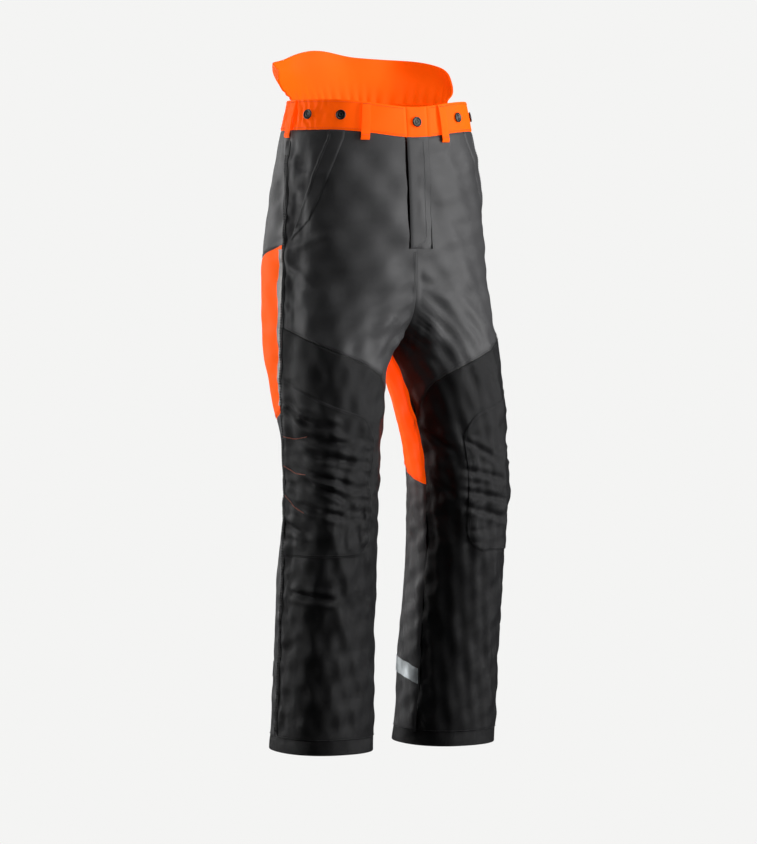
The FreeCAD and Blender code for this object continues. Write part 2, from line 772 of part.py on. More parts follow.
def make_shins():
    front = panel(beside_side_seam(SEAM_ANGLE), front_edge,
                  shin_top, fixed(HEM_TOP_Z + SEAM_GAP), columns=24, rows=12)
    back = panel(beside_side_seam(-SEAM_ANGLE), back_edge,
                 fixed(KNEE_FOLD_END_Z - SEAM_GAP), fixed(HEM_TOP_Z + SEAM_GAP), columns=16, rows=12)
    write_pair("shin_front", front)
    write_pair("calf_back", back)


def level_wire(height, depth):
    """Closed outline of a leg at one level."""
    count = 36
    points = [skin(index * FULL_TURN / count, height, depth) for index in range(count)]
    curve = Part.BSplineCurve()
    curve.interpolate(points, PeriodicFlag=True)
    return Part.Wire([curve.toShape()])


def make_hems():
    """Turned up hem: one ring round the foot of the leg."""
    heights = (HEM_TOP_Z - SEAM_GAP, HEM_Z)
    outer = Part.makeLoft([level_wire(z, 0) for z in heights], True, True)
    inner = Part.makeLoft([level_wire(z, HEM_THICKNESS) for z in heights], True, True)
    write_pair("hem", outer.cut(inner))


def make_inserts():
    """Layered saw protection under the front of the leg, in three lengths."""
    inner_edge = lambda z: min(front_edge(z) - INSERT_EDGE_MARGIN, INSERT_INNER_ANGLE)
    spans = {
        "insert_thigh": (INSERT_TOP_Z, INSERT_KNEE_TOP_Z + SEAM_GAP, 20),
        "insert_knee": (INSERT_KNEE_TOP_Z - SEAM_GAP, KNEE_FOLD_END_Z + SEAM_GAP, 10),
        "insert_shin": (KNEE_FOLD_END_Z - SEAM_GAP, INSERT_BOTTOM_Z, 12),
    }
    for name, (top_z, bottom_z, rows) in spans.items():
        insert = panel(fixed(INSERT_OUTER_ANGLE), inner_edge, fixed(top_z), fixed(bottom_z),
                       INSERT_DEPTH, INSERT_THICKNESS, 10, rows)
        write_pair(name, right_half(insert))


def make_reflective_trim():
    raised = -SURFACE_GAP - TRIM_THICKNESS
    piping = panel(beside_side_seam(-PIPING_ANGLES[0]), beside_side_seam(-PIPING_ANGLES[1]),
                   fixed(PIPING_TOP_Z), fixed(PIPING_BOTTOM_Z), raised, TRIM_THICKNESS, 3, 14)
    strip = panel(fixed(BAND_STRIP_START), lambda z: back_edge(z) + 1,
                  seam(BAND_STRIP_TOP), seam(BAND_STRIP_TOP, -BAND_STRIP_HEIGHT),
                  raised, TRIM_THICKNESS, 16, 4)
    write_pair("reflective_piping", piping)
    write_pair("reflective_band", strip)


def flap_axis():
    """Line that the fly flap turns on: two points, just outside the fly's surface."""
    ends = []
    for height in (FLY_BOTTOM_Z, -BAND_HEIGHT / 2):
        point = skin(angle_at_x(FLY_HINGE_X, height), height)
        ends.append(point - Y_AXIS * FLAP_AXIS_CLEARANCE)
    return ends


def print_joints():
    """Joint positions that the assembly needs."""
    centre, _, _, middle = oval(KNEE_Z)
    print("knee pivot:", Vector(-centre, middle, KNEE_Z))
    bottom, top = flap_axis()
    print("fly flap axis:", top, (top - bottom).normalize())
    zip_top, lean = zip_line()
    down = Vector(0, -math.sin(math.radians(lean)), -math.cos(math.radians(lean)))
    print("zip:", zip_top, "down", down, "travel", ZIP_TRAVEL)
    lug = Part.Vertex(lug_centre())
    print("puller pin:", on_zip(lug).Point)
    print("pocket flap:", *pocket_flap_axis())
    for angle in BRACE_BUTTON_ANGLES:
        foot, normal = button_axis(angle, BUTTON_DROP)
        print("brace button:", foot + normal * (BUTTON_GAP + BUTTON_HEAD / 2), normal)


def main():
    os.makedirs("parts", exist_ok=True)
    make_waistband()
    make_waistband_underlap()
    make_waistband_tab()
    make_buttons()
    make_waist_elastic()
    make_belt_loops()
    make_high_back_panel()
    make_front_upper()
    make_seat()
    make_fly_placket()
    make_fly_shield()
    make_zip()
    make_slash_pockets()
    make_back_pocket()
    make_thighs()
    make_knees()
    make_shins()
    make_hems()
    make_inserts()
    make_reflective_trim()
    print_joints()


main()
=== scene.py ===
import math
import bmesh
import bpy
import numpy as np
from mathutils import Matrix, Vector


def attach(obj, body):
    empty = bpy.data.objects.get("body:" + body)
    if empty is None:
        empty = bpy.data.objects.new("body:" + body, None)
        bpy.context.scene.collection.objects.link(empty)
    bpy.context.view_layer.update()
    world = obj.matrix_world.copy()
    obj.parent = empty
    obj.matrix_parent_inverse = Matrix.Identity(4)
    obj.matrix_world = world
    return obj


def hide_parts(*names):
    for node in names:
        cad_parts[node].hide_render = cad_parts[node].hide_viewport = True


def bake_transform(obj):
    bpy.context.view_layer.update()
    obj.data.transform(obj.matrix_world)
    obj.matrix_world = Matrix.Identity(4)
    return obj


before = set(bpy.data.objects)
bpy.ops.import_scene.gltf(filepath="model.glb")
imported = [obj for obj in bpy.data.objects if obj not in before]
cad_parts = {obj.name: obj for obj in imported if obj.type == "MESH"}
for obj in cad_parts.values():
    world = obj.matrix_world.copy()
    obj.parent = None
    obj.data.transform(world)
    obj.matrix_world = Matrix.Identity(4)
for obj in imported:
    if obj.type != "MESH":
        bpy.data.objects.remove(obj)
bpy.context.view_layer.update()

# Protective forestry trousers. Lengths are in metres and angles in degrees.
# A point of a leg is given by its angle round the leg, from the front and negative
# towards the outside, and its height. SIDES pairs each leg with the way its X is turned.
SIDES = {"right": 1.0, "left": -1.0}

# ---------------------------------------------------------------- driving dimensions
CROTCH_Z = -0.400
KNEE_Z = -0.645
HEM_Z = -1.074
SQUARENESS = 2.3
BAND_HEIGHT = 0.050
BAND_TOP_Z = 0.006
FRONT_DIP = 0.012               # the band dips by this much at the front centre
DIP_SHARPNESS = 8
OUTLINE = (
    (0.0, 0.156, 0.112, 0.0),
    (-0.120, 0.181, 0.128, 0.003),
    (-0.270, 0.194, 0.141, 0.008),
    (CROTCH_Z, 0.200, 0.121, -0.011),
    (-0.540, 0.203, 0.096, -0.050),
    (KNEE_Z, 0.206, 0.090, -0.062),
    (-0.850, 0.201, 0.086, -0.038),
    (HEM_Z, 0.200, 0.090, -0.018),
)
LEG_CENTRE = (
    (0.0, 0.0),
    (-0.180, 0.0),
    (-0.290, 0.026),
    (CROTCH_Z, 0.100),
    (-0.540, 0.121),
    (KNEE_Z, 0.1285),
    (-0.850, 0.1225),
    (HEM_Z, 0.1185),
)
SIDE_SEAM = -88.0
FULL_TURN = 360.0
SIDE_LINE = (
    (-0.060, SIDE_SEAM),
    (-0.160, -82.0),
    (-0.358, -81.0),
    (-0.512, -94.0),
    (KNEE_Z, -99.0),
    (-0.800, -96.0),
    (HEM_Z, -97.0),
)
INSEAM = ((CROTCH_Z, 84.0), (-0.540, 79.0), (KNEE_Z, 79.0), (-0.850, 69.5), (HEM_Z, 66.0))
SEAT_SEAM = ((-273.0, -0.345), (-180.0, -0.300), (SIDE_SEAM, -0.233))
GREY_SEAM = (
    (SIDE_SEAM, -0.360),
    (-30.0, -0.406),
    (20.0, -0.439),
    (47.0, -0.463),
    (63.0, -0.490),
    (90.0, -0.552),
)
KNEE_TOP_SEAM = ((SIDE_SEAM, -0.447), (-30.0, -0.493), (5.0, -0.512), (26.0, -0.531), (90.0, -0.566))
ORANGE_SEAM = (
    (-285.0, -0.634),
    (-250.0, -0.620),
    (-180.0, -0.568),
    (-110.0, -0.512),
    (SIDE_SEAM, -0.500),
)
KNEE_INNER_ANGLE = 26.0
KNEE_CORNER_TURN = 27.0         # angle that the knee panel's round corner takes up
KNEE_CORNER = 0.045
KNEE_TOP_CORNER = 0.026
KNEE_BOTTOM_Z = -0.745
HEM_TOP_Z = -1.050
HEM_TUCK = 0.0016               # the leg's cloth reaches this far into the folded hem
SEAM_GAP = 0.00015
SEAM_ANGLE = 0.08
CLOTH = 0.0014

FLY_EDGE_X = -0.011
FLY_SHADOW = 0.0045             # open gap beside the fly's free edge
FLY_HINGE_X = 0.030
FLY_BOTTOM_Z = -0.240
FLY_STITCH_X = 0.019
TAB_EDGE_X = -0.009
BAND_CLOTH = 0.0026
UNDERLAP_DEPTH = 0.0036
BUTTON_DROP = 0.0255
BUTTON_RADIUS = 0.0085
BRACE_BUTTON_ANGLES = (-69.0, -44.5, 36.0, 66.0, -150.0, -210.0)
CLOSURE_X = 0.008
CLOSURE_DROP = 0.025
BELT_LOOPS = {
    "belt_loop_front_right": -29.0,
    "belt_loop_front_left": 21.5,
    "belt_loop_side_right": -90.0,
    "belt_loop_side_left": 90.0,
    "belt_loop_back_right": -142.0,
    "belt_loop_back_left": 142.0,
    "belt_loop_back_centre": 180.0,
}
LOOP_WIDTH = 0.015
LOOP_DROP = 0.062
LOOP_ARCH = 0.0040
HIGH_BACK_RIGHT_END = (-136.0, -109.0)     # angle of the end at its foot and at its top
HIGH_BACK_LEFT_END = (-256.0, -261.0)
HIGH_BACK_TOP = (
    (-261.0, 0.036),
    (-254.0, 0.055),
    (-243.0, 0.069),
    (-225.0, 0.079),
    (-190.0, 0.085),
    (-164.0, 0.095),
    (-141.0, 0.078),
    (-118.0, 0.067),
    (-109.0, 0.056),
)
HIGH_BACK_FLARE = 0.21
POCKET_MOUTH = ((-0.058, -52.0), (-0.136, -61.0), (-0.228, -74.5))
WELT_ANGLE = 11.0
WELT_FOOT = ((-75.0, -0.228), (-60.0, -0.196))
BACK_POCKET_ANGLES = (-137.0, -176.0)
BACK_POCKET_Z = (-0.098, -0.240)
PIPING_ANGLES = (1.5, 9.5)
PIPING_Z = (-0.240, -0.496)
BAND_STRIP_HEIGHT = 0.026
BAND_STRIP_START = -126.0
BAND_STRIP_TOP = ((-294.0, -0.945), (-250.0, -0.931), (-180.0, -0.922), (SIDE_SEAM, -0.930))
INSERT_DEPTH = 0.0032
INSERT_THICKNESS = 0.0045


# ---------------------------------------------------------------- shape of the garment
def smooth(stations, place, column=1):
    """Values on a smooth line through a few stations."""
    rows = np.array(sorted(stations))
    x, y = rows[:, 0], rows[:, column]
    place = np.clip(place, x[0], x[-1])
    i = np.clip(np.searchsorted(x, place) - 1, 0, len(x) - 2)
    low = np.maximum(np.arange(len(x)) - 1, 0)
    high = np.minimum(np.arange(len(x)) + 1, len(x) - 1)
    slope = (y[high] - y[low]) / (x[high] - x[low])
    span = x[i + 1] - x[i]
    t = (place - x[i]) / span
    value = y[i] + (y[i + 1] - y[i]) * t * t * (3 - 2 * t)
    value += span * slope[i] * t * (1 - t) ** 2
    value -= span * slope[i + 1] * t * t * (1 - t)
    return value


def mix(a, b, share):
    return a + (b - a) * share


def ease(low, high, value):
    """0 below low, 1 above high and smooth between them."""
    t = np.clip((value - low) / (high - low), 0, 1)
    return t * t * (3 - 2 * t)


def bump(value, centre, width):
    return np.exp(-((value - centre) / width) ** 2)


def skin(angle, height, depth=0.0):
    """Points of the right half's plain outer surface, this deep under it."""
    centre = np.maximum(0.0, smooth(LEG_CENTRE, height))
    half_width = smooth(OUTLINE, height, 1) - centre - depth
    half_depth = smooth(OUTLINE, height, 2) - depth
    middle = smooth(OUTLINE, height, 3)
    sine = np.sin(np.radians(angle))
    cosine = np.cos(np.radians(angle))
    reach = (abs(sine) ** SQUARENESS + abs(cosine) ** SQUARENESS) ** (-1 / SQUARENESS)
    x = half_width * reach * sine - centre
    y = middle - half_depth * reach * cosine
    return np.stack([x, y, np.broadcast_to(height, np.shape(x))], axis=-1)


def outward(angle, height):
    """Way that the plain surface faces, from small steps along it."""
    step_angle, step = 0.5, 0.0005
    along = skin(angle + step_angle, height) - skin(angle - step_angle, height)
    up = skin(angle, height + step) - skin(angle, height - step)
    normal = np.cross(along, up)
    return normal / np.linalg.norm(normal, axis=-1, keepdims=True)


def angle_at_x(x, height):
    """Angle on the front where the surface crosses a plane of constant X."""
    centre = np.maximum(0.0, smooth(LEG_CENTRE, height))
    half_width = smooth(OUTLINE, height, 1) - centre
    share = np.clip((x + centre) / half_width, -1, 1)
    rest = (1 - abs(share) ** SQUARENESS) ** (1 / SQUARENESS)
    return np.degrees(np.arctan2(share, rest))


def side_line(height):
    return smooth(SIDE_LINE, height)


def beside_side_seam(shift):
    return lambda height: side_line(height) + shift


def front_edge(height):
    return smooth(INSEAM, height) - SEAM_ANGLE


def back_edge(height):
    return smooth(INSEAM, height) + SEAM_ANGLE - FULL_TURN


def band_top(angle):
    facing = np.maximum(0.0, np.cos(np.radians(angle)))
    return BAND_TOP_Z - FRONT_DIP * facing ** DIP_SHARPNESS


def band_bottom(angle):
    return band_top(angle) - BAND_HEIGHT


def fixed(value):
    return lambda place: value + 0 * place


def seam(stations, shift=0.0):
    return lambda angle: smooth(stations, angle) + shift


REGION_STEPS = 60               # enough for each point to settle between its four edges


def region(left, right, top, bottom, columns, rows, crowded=False):
    """Angles and heights of a grid that fills a four-sided region, crowded towards its
    right edge where that has round corners."""
    s, t = np.meshgrid(np.linspace(0, 1, columns + 1), np.linspace(0, 1, rows + 1))
    if crowded:
        s = np.sin(s * math.pi / 2)
    height = np.full_like(s, HEM_TOP_Z / 2)
    for _ in range(REGION_STEPS):
        angle = mix(left(height), right(height), s)
        height = mix(height, mix(top(angle), bottom(angle), t), 0.5)
    return angle, height


# ---------------------------------------------------------------- folds by cloth simulation
def link(obj):
    bpy.context.scene.collection.objects.link(obj)
    return obj


SIM_COLUMNS = 96
SIM_ROWS = 136
SIM_FRAMES = 26
SIM_REACH = 0.011               # the furthest that a fold may stand off the plain surface
SWELL = 0.075                   # how much the cloth grows where it is fullest
EVEN_SPARE = 0.16               # share of that growth that it has everywhere
LIVELY_SPARE = (0.10, 0.62)     # the settled folds are kept in full from the second share up
KNEE_CREASE_Z = -0.635
CROTCH_CREASE_Z = -0.385
START_NOISE = 0.0004
SIM_SETTINGS = {
    "quality": 5,
    "mass": 0.3,
    "tension_stiffness": 25,
    "compression_stiffness": 25,
    "shear_stiffness": 8,
    "bending_stiffness": 0.6,
    "air_damping": 2,
    "vertex_group_mass": "held",
    "pin_stiffness": 1,
    "vertex_group_shrink": "spare",
    "shrink_min": 0,
    "shrink_max": -SWELL,
    "use_pressure": True,
    "uniform_pressure_force": 0.15,
}
SIM_GRAVITY = 0.15


def sim_grid():
    """Angles and heights of the simulated tube's points, from the band down to the hem."""
    angle = np.linspace(-270.0, 90.0, SIM_COLUMNS, endpoint=False)[None, :]
    share = np.linspace(0, 1, SIM_ROWS + 1)[:, None]
    return angle + 0 * share, mix(band_bottom(angle), HEM_Z, share)


def fullness(angle, height):
    """How much spare cloth there is at each place: most at the knee and along the side seam."""
    knee = bump(height, KNEE_CREASE_Z, 0.085) * (0.35 + 0.65 * bump(angle, -60.0, 60.0))
    side = bump(angle, side_line(height), 20.0) * (0.4 + 0.6 * ease(-0.95, -0.75, height))
    crotch = bump(height, CROTCH_CREASE_Z, 0.06) * bump(angle, 80.0, 60.0)
    back = ease(30.0, 60.0, 90.0 - np.abs(angle + 180.0)) * ease(-0.25, -0.5, height)
    full = EVEN_SPARE + 0.8 * knee + 0.45 * side + 0.4 * crotch + 0.45 * back
    return np.clip(full, 0, 1)


def sim_mesh(angle, height):
    """Tube of one leg with its half of the hips, without what lies past the mid plane."""
    points = skin(angle, height)
    count = SIM_COLUMNS
    faces = []
    for row in range(SIM_ROWS):
        for column in range(count):
            after = (column + 1) % count
            corners = ((row, column), (row, after), (row + 1, after), (row + 1, column))
            if all(points[corner][0] < 0.002 for corner in corners):
                faces.append([r * count + c for r, c in corners])
    mesh = bpy.data.meshes.new("folds")
    mesh.from_pydata(points.reshape(-1, 3).tolist(), [], faces)
    return mesh


def hold_and_swell(obj, angle, height):
    """Weights that hold the cloth at its ends and seams, and let it grow where it is full."""
    groups = [obj.vertex_groups.new(name=name) for name in ("held", "spare")]
    row = np.indices(angle.shape)[0]
    seams = np.maximum(bump(angle, side_line(height), 1.6), bump(angle, smooth(INSEAM, height), 2.0))
    ends = (row < 2) | (row > SIM_ROWS - 2) | (skin(angle, height)[..., 0] > -0.006)
    fields = (np.where(ends, 1.0, 0.35 * seams), fullness(angle, height))
    for group, field in zip(groups, fields):
        for index, weight in enumerate(field.reshape(-1)):
            group.add([index], float(weight), "REPLACE")


def simulate(seed):
    """Displacement of the cloth over the grid after it has settled into folds."""
    angle, height = sim_grid()
    mesh = sim_mesh(angle, height)
    obj = link(bpy.data.objects.new("folds", mesh))
    chance = np.random.default_rng(seed)
    points = skin(angle, height)
    noise = chance.normal(0, START_NOISE, angle.shape)
    start = points + outward(angle, height) * noise[..., None]
    mesh.vertices.foreach_set("co", start.reshape(-1))
    hold_and_swell(obj, angle, height)
    cloth = obj.modifiers.new("Cloth", "CLOTH")
    for name, value in SIM_SETTINGS.items():
        setattr(cloth.settings, name, value)
    cloth.settings.effector_weights.gravity = SIM_GRAVITY
    cloth.collision_settings.use_collision = False
    cloth.point_cache.frame_end = SIM_FRAMES
    scene = bpy.context.scene
    for number in range(1, SIM_FRAMES + 1):
        scene.frame_set(number)
    shown = obj.evaluated_get(bpy.context.evaluated_depsgraph_get())
    settled = np.zeros(len(shown.data.vertices) * 3, np.float32)
    shown.data.vertices.foreach_get("co", settled)
    move = settled.reshape(points.shape).astype(float) - points
    bpy.data.objects.remove(obj)
    bpy.data.meshes.remove(mesh)
    scene.frame_set(1)
    move[~np.isfinite(move)] = 0
    far = np.linalg.norm(move, axis=-1, keepdims=True)
    capped = SIM_REACH * np.tanh(far / SIM_REACH)
    return move * capped / np.maximum(far, 1e-9)


def sampled(field, angle, height):
    """Value of a gridded field at any angle and height, smooth between the grid's points."""
    share = (band_bottom(angle) - height) / (band_bottom(angle) - HEM_Z)
    row = np.clip(share, 0, 1) * SIM_ROWS
    column = (np.asarray(angle) + 270.0) / FULL_TURN * SIM_COLUMNS
    r0 = np.clip(np.floor(row).astype(int), 0, SIM_ROWS - 1)
    c0 = np.floor(column).astype(int)
    tr, tc = (row - r0)[..., None], (column - c0)[..., None]
    tr, tc = tr * tr * (3 - 2 * tr), tc * tc * (3 - 2 * tc)
    left, right = c0 % SIM_COLUMNS, (c0 + 1) % SIM_COLUMNS
    upper = field[r0, left] * (1 - tc) + field[r0, right] * tc
    lower = field[r0 + 1, left] * (1 - tc) + field[r0 + 1, right] * tc
    return upper * (1 - tr) + lower * tr


FOLDS = {"right": simulate(3), "left": simulate(8)}


# ---------------------------------------------------------------- given folds
class Waves:
    """Soft seeded waves: a few sines of mixed direction, the same ones each time."""

    def __init__(self, seed, length, count=7, stretch=(1.0, 1.0)):
        chance = np.random.default_rng(seed)
        turn = chance.uniform(0, 2 * math.pi, count)
        pitch = length * chance.uniform(0.6, 1.6, count)
        self.u = np.cos(turn) / pitch / stretch[0] * 2 * math.pi
        self.v = np.sin(turn) / pitch / stretch[1] * 2 * math.pi
        self.phase = chance.uniform(0, 2 * math.pi, count)
        self.scale = 1 / math.sqrt(count)

    def __call__(self, u, v):
        total = 0
        for a, b, phase in zip(self.u, self.v, self.phase):
            total = total + np.sin(a * u + b * v + phase)
        return total * self.scale


LEG_RADIUS = 0.096              # turns an angle round the leg into a length of cloth
HIP_RADIUS = 0.14               # and an angle round the waist and hips
SOFT = {"right": Waves(11, 0.16, stretch=(1, 1.8)), "left": Waves(12, 0.16, stretch=(1, 1.8))}
FINE = {"right": Waves(21, 0.034, stretch=(2.2, 0.8)), "left": Waves(22, 0.034, stretch=(2.2, 0.8))}
RIPPLE = {"right": Waves(31, 0.022), "left": Waves(32, 0.022)}


def crease(u, v, start, end, width, height):
    """Rounded ridge along a line from start to end; a negative height makes a furrow."""
    line = np.subtract(end, start)
    length = np.hypot(*line)
    along = ((u - start[0]) * line[0] + (v - start[1]) * line[1]) / length
    across = ((v - start[1]) * line[0] - (u - start[0]) * line[1]) / length
    ends = ease(-0.012, 0.010, along) * ease(-0.012, 0.016, length - along)
    return height * ends * np.exp(-(across / width) ** 2)


KNEE_CREASES_END = -0.735


def knee_creases(side):
    """Small folds across the knee, which fan in from the side seam and from the inner seam."""
    chance = np.random.default_rng({"right": 5, "left": 9}[side])
    creases = []
    outer = math.radians(SIDE_SEAM - 4) * LEG_RADIUS
    inner = math.radians(KNEE_INNER_ANGLE) * LEG_RADIUS
    for height in np.arange(-0.500, KNEE_CREASES_END, -0.016):
        size = 0.0026 * chance.uniform(0.5, 1.2)
        reach = chance.uniform(0.035, 0.075)
        drop = chance.uniform(-0.016, 0.004)
        z = height + chance.uniform(-0.004, 0.004)
        creases.append(((outer, z), (outer + reach, z + drop), 0.0058, size))
    for height in np.arange(-0.555, KNEE_CREASES_END, -0.019):
        size = -0.0016 * chance.uniform(0.5, 1.3)
        reach = chance.uniform(0.02, 0.05)
        z = height + chance.uniform(-0.005, 0.005)
        rise = chance.uniform(-0.004, 0.012)
        creases.append(((inner, z), (inner - reach, z + rise), 0.005, size))
    return creases


FURROW_WIDTH = 0.0050
RIDGE_WIDTH = 0.0060
RIDGE_RISE = 0.0095
RIDGE_SHARE = 0.75              # height of a ridge to the depth of its furrow


def furrows(lines, depth):
    """Deep folds: a furrow with a ridge of pushed up cloth above and below it."""
    creases = []
    for start, end in lines:
        creases.append((start, end, FURROW_WIDTH, -depth))
        for rise in (-RIDGE_RISE, RIDGE_RISE):
            ridge = [(u, z + rise) for u, z in (start, end)]
            creases.append((*ridge, RIDGE_WIDTH, depth * RIDGE_SHARE))
    return creases


# Deep folds over the knee, as (length round the leg from its front, height) pairs.
KNEE_FURROWS = {
    "right": (
        ((-0.150, -0.488), (-0.096, -0.526)),
        ((-0.108, -0.520), (-0.036, -0.531)),
        ((-0.112, -0.546), (-0.018, -0.558)),
        ((-0.100, -0.572), (0.004, -0.588)),
        ((-0.128, -0.596), (-0.002, -0.626)),
        ((-0.100, -0.618), (-0.022, -0.646)),
        ((-0.114, -0.656), (-0.020, -0.677)),
        ((-0.155, -0.690), (-0.094, -0.706)),
        ((-0.130, -0.804), (-0.034, -0.815)),
    ),
    "left": (
        ((0.043, -0.558), (-0.046, -0.594)),
        ((0.052, -0.606), (-0.060, -0.624)),
        ((0.056, -0.640), (-0.070, -0.660)),
        ((0.048, -0.668), (-0.060, -0.688)),
        ((0.116, -0.542), (0.066, -0.574)),
        ((0.110, -0.620), (0.070, -0.650)),
    ),
}

# Other folds: start, end, width and height.
CREASES = {
    "right": knee_creases("right") + furrows(KNEE_FURROWS["right"], 0.0036) + [
        ((-0.130, -0.245), (-0.075, -0.215), 0.007, 0.0028),
        ((-0.134, -0.252), (-0.090, -0.300), 0.007, 0.0032),
        ((-0.132, -0.262), (-0.108, -0.330), 0.006, -0.0026),
        ((-0.128, -0.120), (-0.085, -0.118), 0.008, 0.0020),
        ((-0.130, -0.160), (-0.095, -0.170), 0.007, -0.0020),
        ((-0.132, -0.200), (-0.105, -0.196), 0.006, 0.0020),
        ((0.145, -0.330), (0.060, -0.400), 0.012, 0.0030),
        ((0.148, -0.352), (0.085, -0.440), 0.010, -0.0030),
        ((0.140, -0.410), (0.060, -0.520), 0.012, 0.0025),
        ((-0.136, -0.900), (-0.095, -0.880), 0.008, -0.0024),
    ],
    "left": knee_creases("left") + furrows(KNEE_FURROWS["left"], 0.0024) + [
        ((0.040, -0.262), (-0.010, -0.310), 0.010, -0.0030),
        ((0.145, -0.318), (0.070, -0.352), 0.010, -0.0030),
        ((0.148, -0.338), (0.040, -0.392), 0.012, 0.0034),
        ((0.146, -0.360), (0.060, -0.430), 0.010, -0.0030),
        ((0.050, -0.098), (0.020, -0.092), 0.006, -0.0022),
        ((0.050, -0.205), (0.022, -0.198), 0.005, -0.0022),
        ((0.050, -0.228), (0.012, -0.222), 0.006, -0.0020),
    ],
}


FOLD_SIZES = {"soft": 0.0013, "fine": 0.0011, "ripple": 0.0006, "back": 0.0014}


def hand_folds(side, angle, height):
    """Height of the folds laid over the plain surface."""
    u = np.radians(angle) * LEG_RADIUS
    calm = ease(0.0, 0.05, band_bottom(angle) - height) * ease(HEM_Z - 0.01, HEM_Z + 0.06, height)
    at_side = bump(angle, side_line(height), 17.0)
    at_knee = bump(height, KNEE_CREASE_Z, 0.1)
    at_back = ease(-150.0, -210.0, -np.abs(angle + 180.0) - 120.0)
    lively = 0.05 + 0.95 * np.maximum(at_side, 0.4 * at_knee)
    total = FOLD_SIZES["soft"] * SOFT[side](u, height) * calm
    total = total + FOLD_SIZES["fine"] * FINE[side](u, height) * lively * calm
    total = total + FOLD_SIZES["ripple"] * RIPPLE[side](u, height) * at_side * calm
    total = total + FOLD_SIZES["back"] * FINE[side](u * 2, height * 0.5) * at_back * calm
    for start, end, width, size in CREASES[side]:
        total = total + crease(u, height, start, end, width, size)
    return total * (1 - 0.85 * bump(angle, side_line(height), 3.2))


def cloth(side, angle, height, lift=0.0):
    """Points of the finished outer surface, folds and all, lifted off it by a little."""
    angle = np.asarray(angle, float)
    height = np.asarray(height, float)
    rise = hand_folds(side, angle, height) + lift
    points = skin(angle, height) + outward(angle, height) * np.asarray(rise)[..., None]
    lively = ease(*LIVELY_SPARE, fullness(angle, height))
    points = points + sampled(FOLDS[side], angle, height) * lively[..., None]
    mid_plane = ease(-0.002, -0.010, skin(angle, height)[..., 0])
    plain = skin(angle, height) + outward(angle, height) * np.asarray(lift + 0 * rise)[..., None]
    points = mix(plain, points, mid_plane[..., None])
    points[..., 0] *= SIDES[side]
    return points


# ---------------------------------------------------------------- meshes
def mesh_object(name, points, faces, cloth_place=None):
    """Smooth-shaded mesh, which carries the place of each point on its flat cloth if given."""
    mesh = bpy.data.meshes.new(name)
    mesh.from_pydata([tuple(p) for p in np.asarray(points).reshape(-1, 3)], [], faces)
    if cloth_place is not None:
        layer = mesh.attributes.new("cloth", "FLOAT_VECTOR", "POINT")
        layer.data.foreach_set("vector", np.asarray(cloth_place, np.float32).reshape(-1))
    mesh.shade_smooth()
    return link(bpy.data.objects.new(name, mesh))


def grid_faces(rows, columns):
    return [
        (r * (columns + 1) + c, r * (columns + 1) + c + 1,
         (r + 1) * (columns + 1) + c + 1, (r + 1) * (columns + 1) + c)
        for r in range(rows) for c in range(columns)
    ]


def lengths_along(points, axis):
    """Running length of cloth from the first row or column."""
    steps = np.linalg.norm(np.diff(points, axis=axis), axis=-1)
    start = np.zeros_like(np.take(steps, [0], axis=axis))
    return np.concatenate([start, np.cumsum(steps, axis=axis)], axis=axis)


def grid_object(name, points, facing):
    """Open sheet over a grid, with its own cloth coordinates, that faces a given way."""
    rows, columns = points.shape[0] - 1, points.shape[1] - 1
    across = lengths_along(points, 1)
    down = lengths_along(points, 0)
    place = np.stack([across, down, 0 * down], axis=-1)
    obj = mesh_object(name, points, grid_faces(rows, columns), place)
    normals = np.zeros(len(obj.data.polygons) * 3, np.float32)
    obj.data.polygons.foreach_get("normal", normals)
    middle = facing[:-1, :-1].reshape(-1, 3)
    if (normals.reshape(-1, 3) * middle).sum() < 0:
        obj.data.flip_normals()
    return obj


def settle(obj):
    """Put the result of every modifier into the mesh."""
    shown = obj.evaluated_get(bpy.context.evaluated_depsgraph_get())
    mesh = bpy.data.meshes.new_from_object(shown)
    obj.modifiers.clear()
    obj.data = mesh
    return obj


RIM_SHARPNESS = 55.0            # a cut edge that turns by more than this is shaded sharp


def thicken(obj, thickness, inner_material=None):
    solid = obj.modifiers.new("Thickness", "SOLIDIFY")
    solid.thickness = thickness
    solid.offset = -1
    if inner_material is not None:
        obj.data.materials.append(inner_material)
        solid.material_offset = 1
    settle(obj)
    obj.data.set_sharp_from_angle(angle=math.radians(RIM_SHARPNESS))
    return obj


def cut(obj, point, normal, drop=True):
    """Cut the mesh along a plane, and drop what lies on the normal's side."""
    mesh = bmesh.new()
    mesh.from_mesh(obj.data)
    geometry = mesh.verts[:] + mesh.edges[:] + mesh.faces[:]
    bmesh.ops.bisect_plane(mesh, geom=geometry, plane_co=point, plane_no=normal, clear_outer=drop)
    mesh.to_mesh(obj.data)
    mesh.free()


def drop_faces(obj, unwanted):
    mesh = bmesh.new()
    mesh.from_mesh(obj.data)
    faces = [face for face in mesh.faces if unwanted(face.calc_center_median())]
    bmesh.ops.delete(mesh, geom=faces, context="FACES")
    mesh.to_mesh(obj.data)
    mesh.free()


def place(obj, body, material_slot):
    """Ride on one body; pieces of the fly flap and pieces that a pair of bodies names are only fixed where
    they stand.
    """
    if body == "fly_flap":
        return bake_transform(obj)
    if isinstance(body, str):
        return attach(obj, body)
    side = body[1].split("_")[1]
    middle = SIDES[side] * -smooth(LEG_CENTRE, KNEE_Z)
    depth = smooth(OUTLINE, KNEE_Z, 3)
    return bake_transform(obj)


def sew(obj, thickness, body, material_slot, *nodes, lining=None):
    """Give a sheet its thickness and its place, and hide the CAD nodes that it stands for."""
    thicken(obj, thickness, lining)
    place(obj, body, material_slot)
    if nodes:
        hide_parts(*nodes)


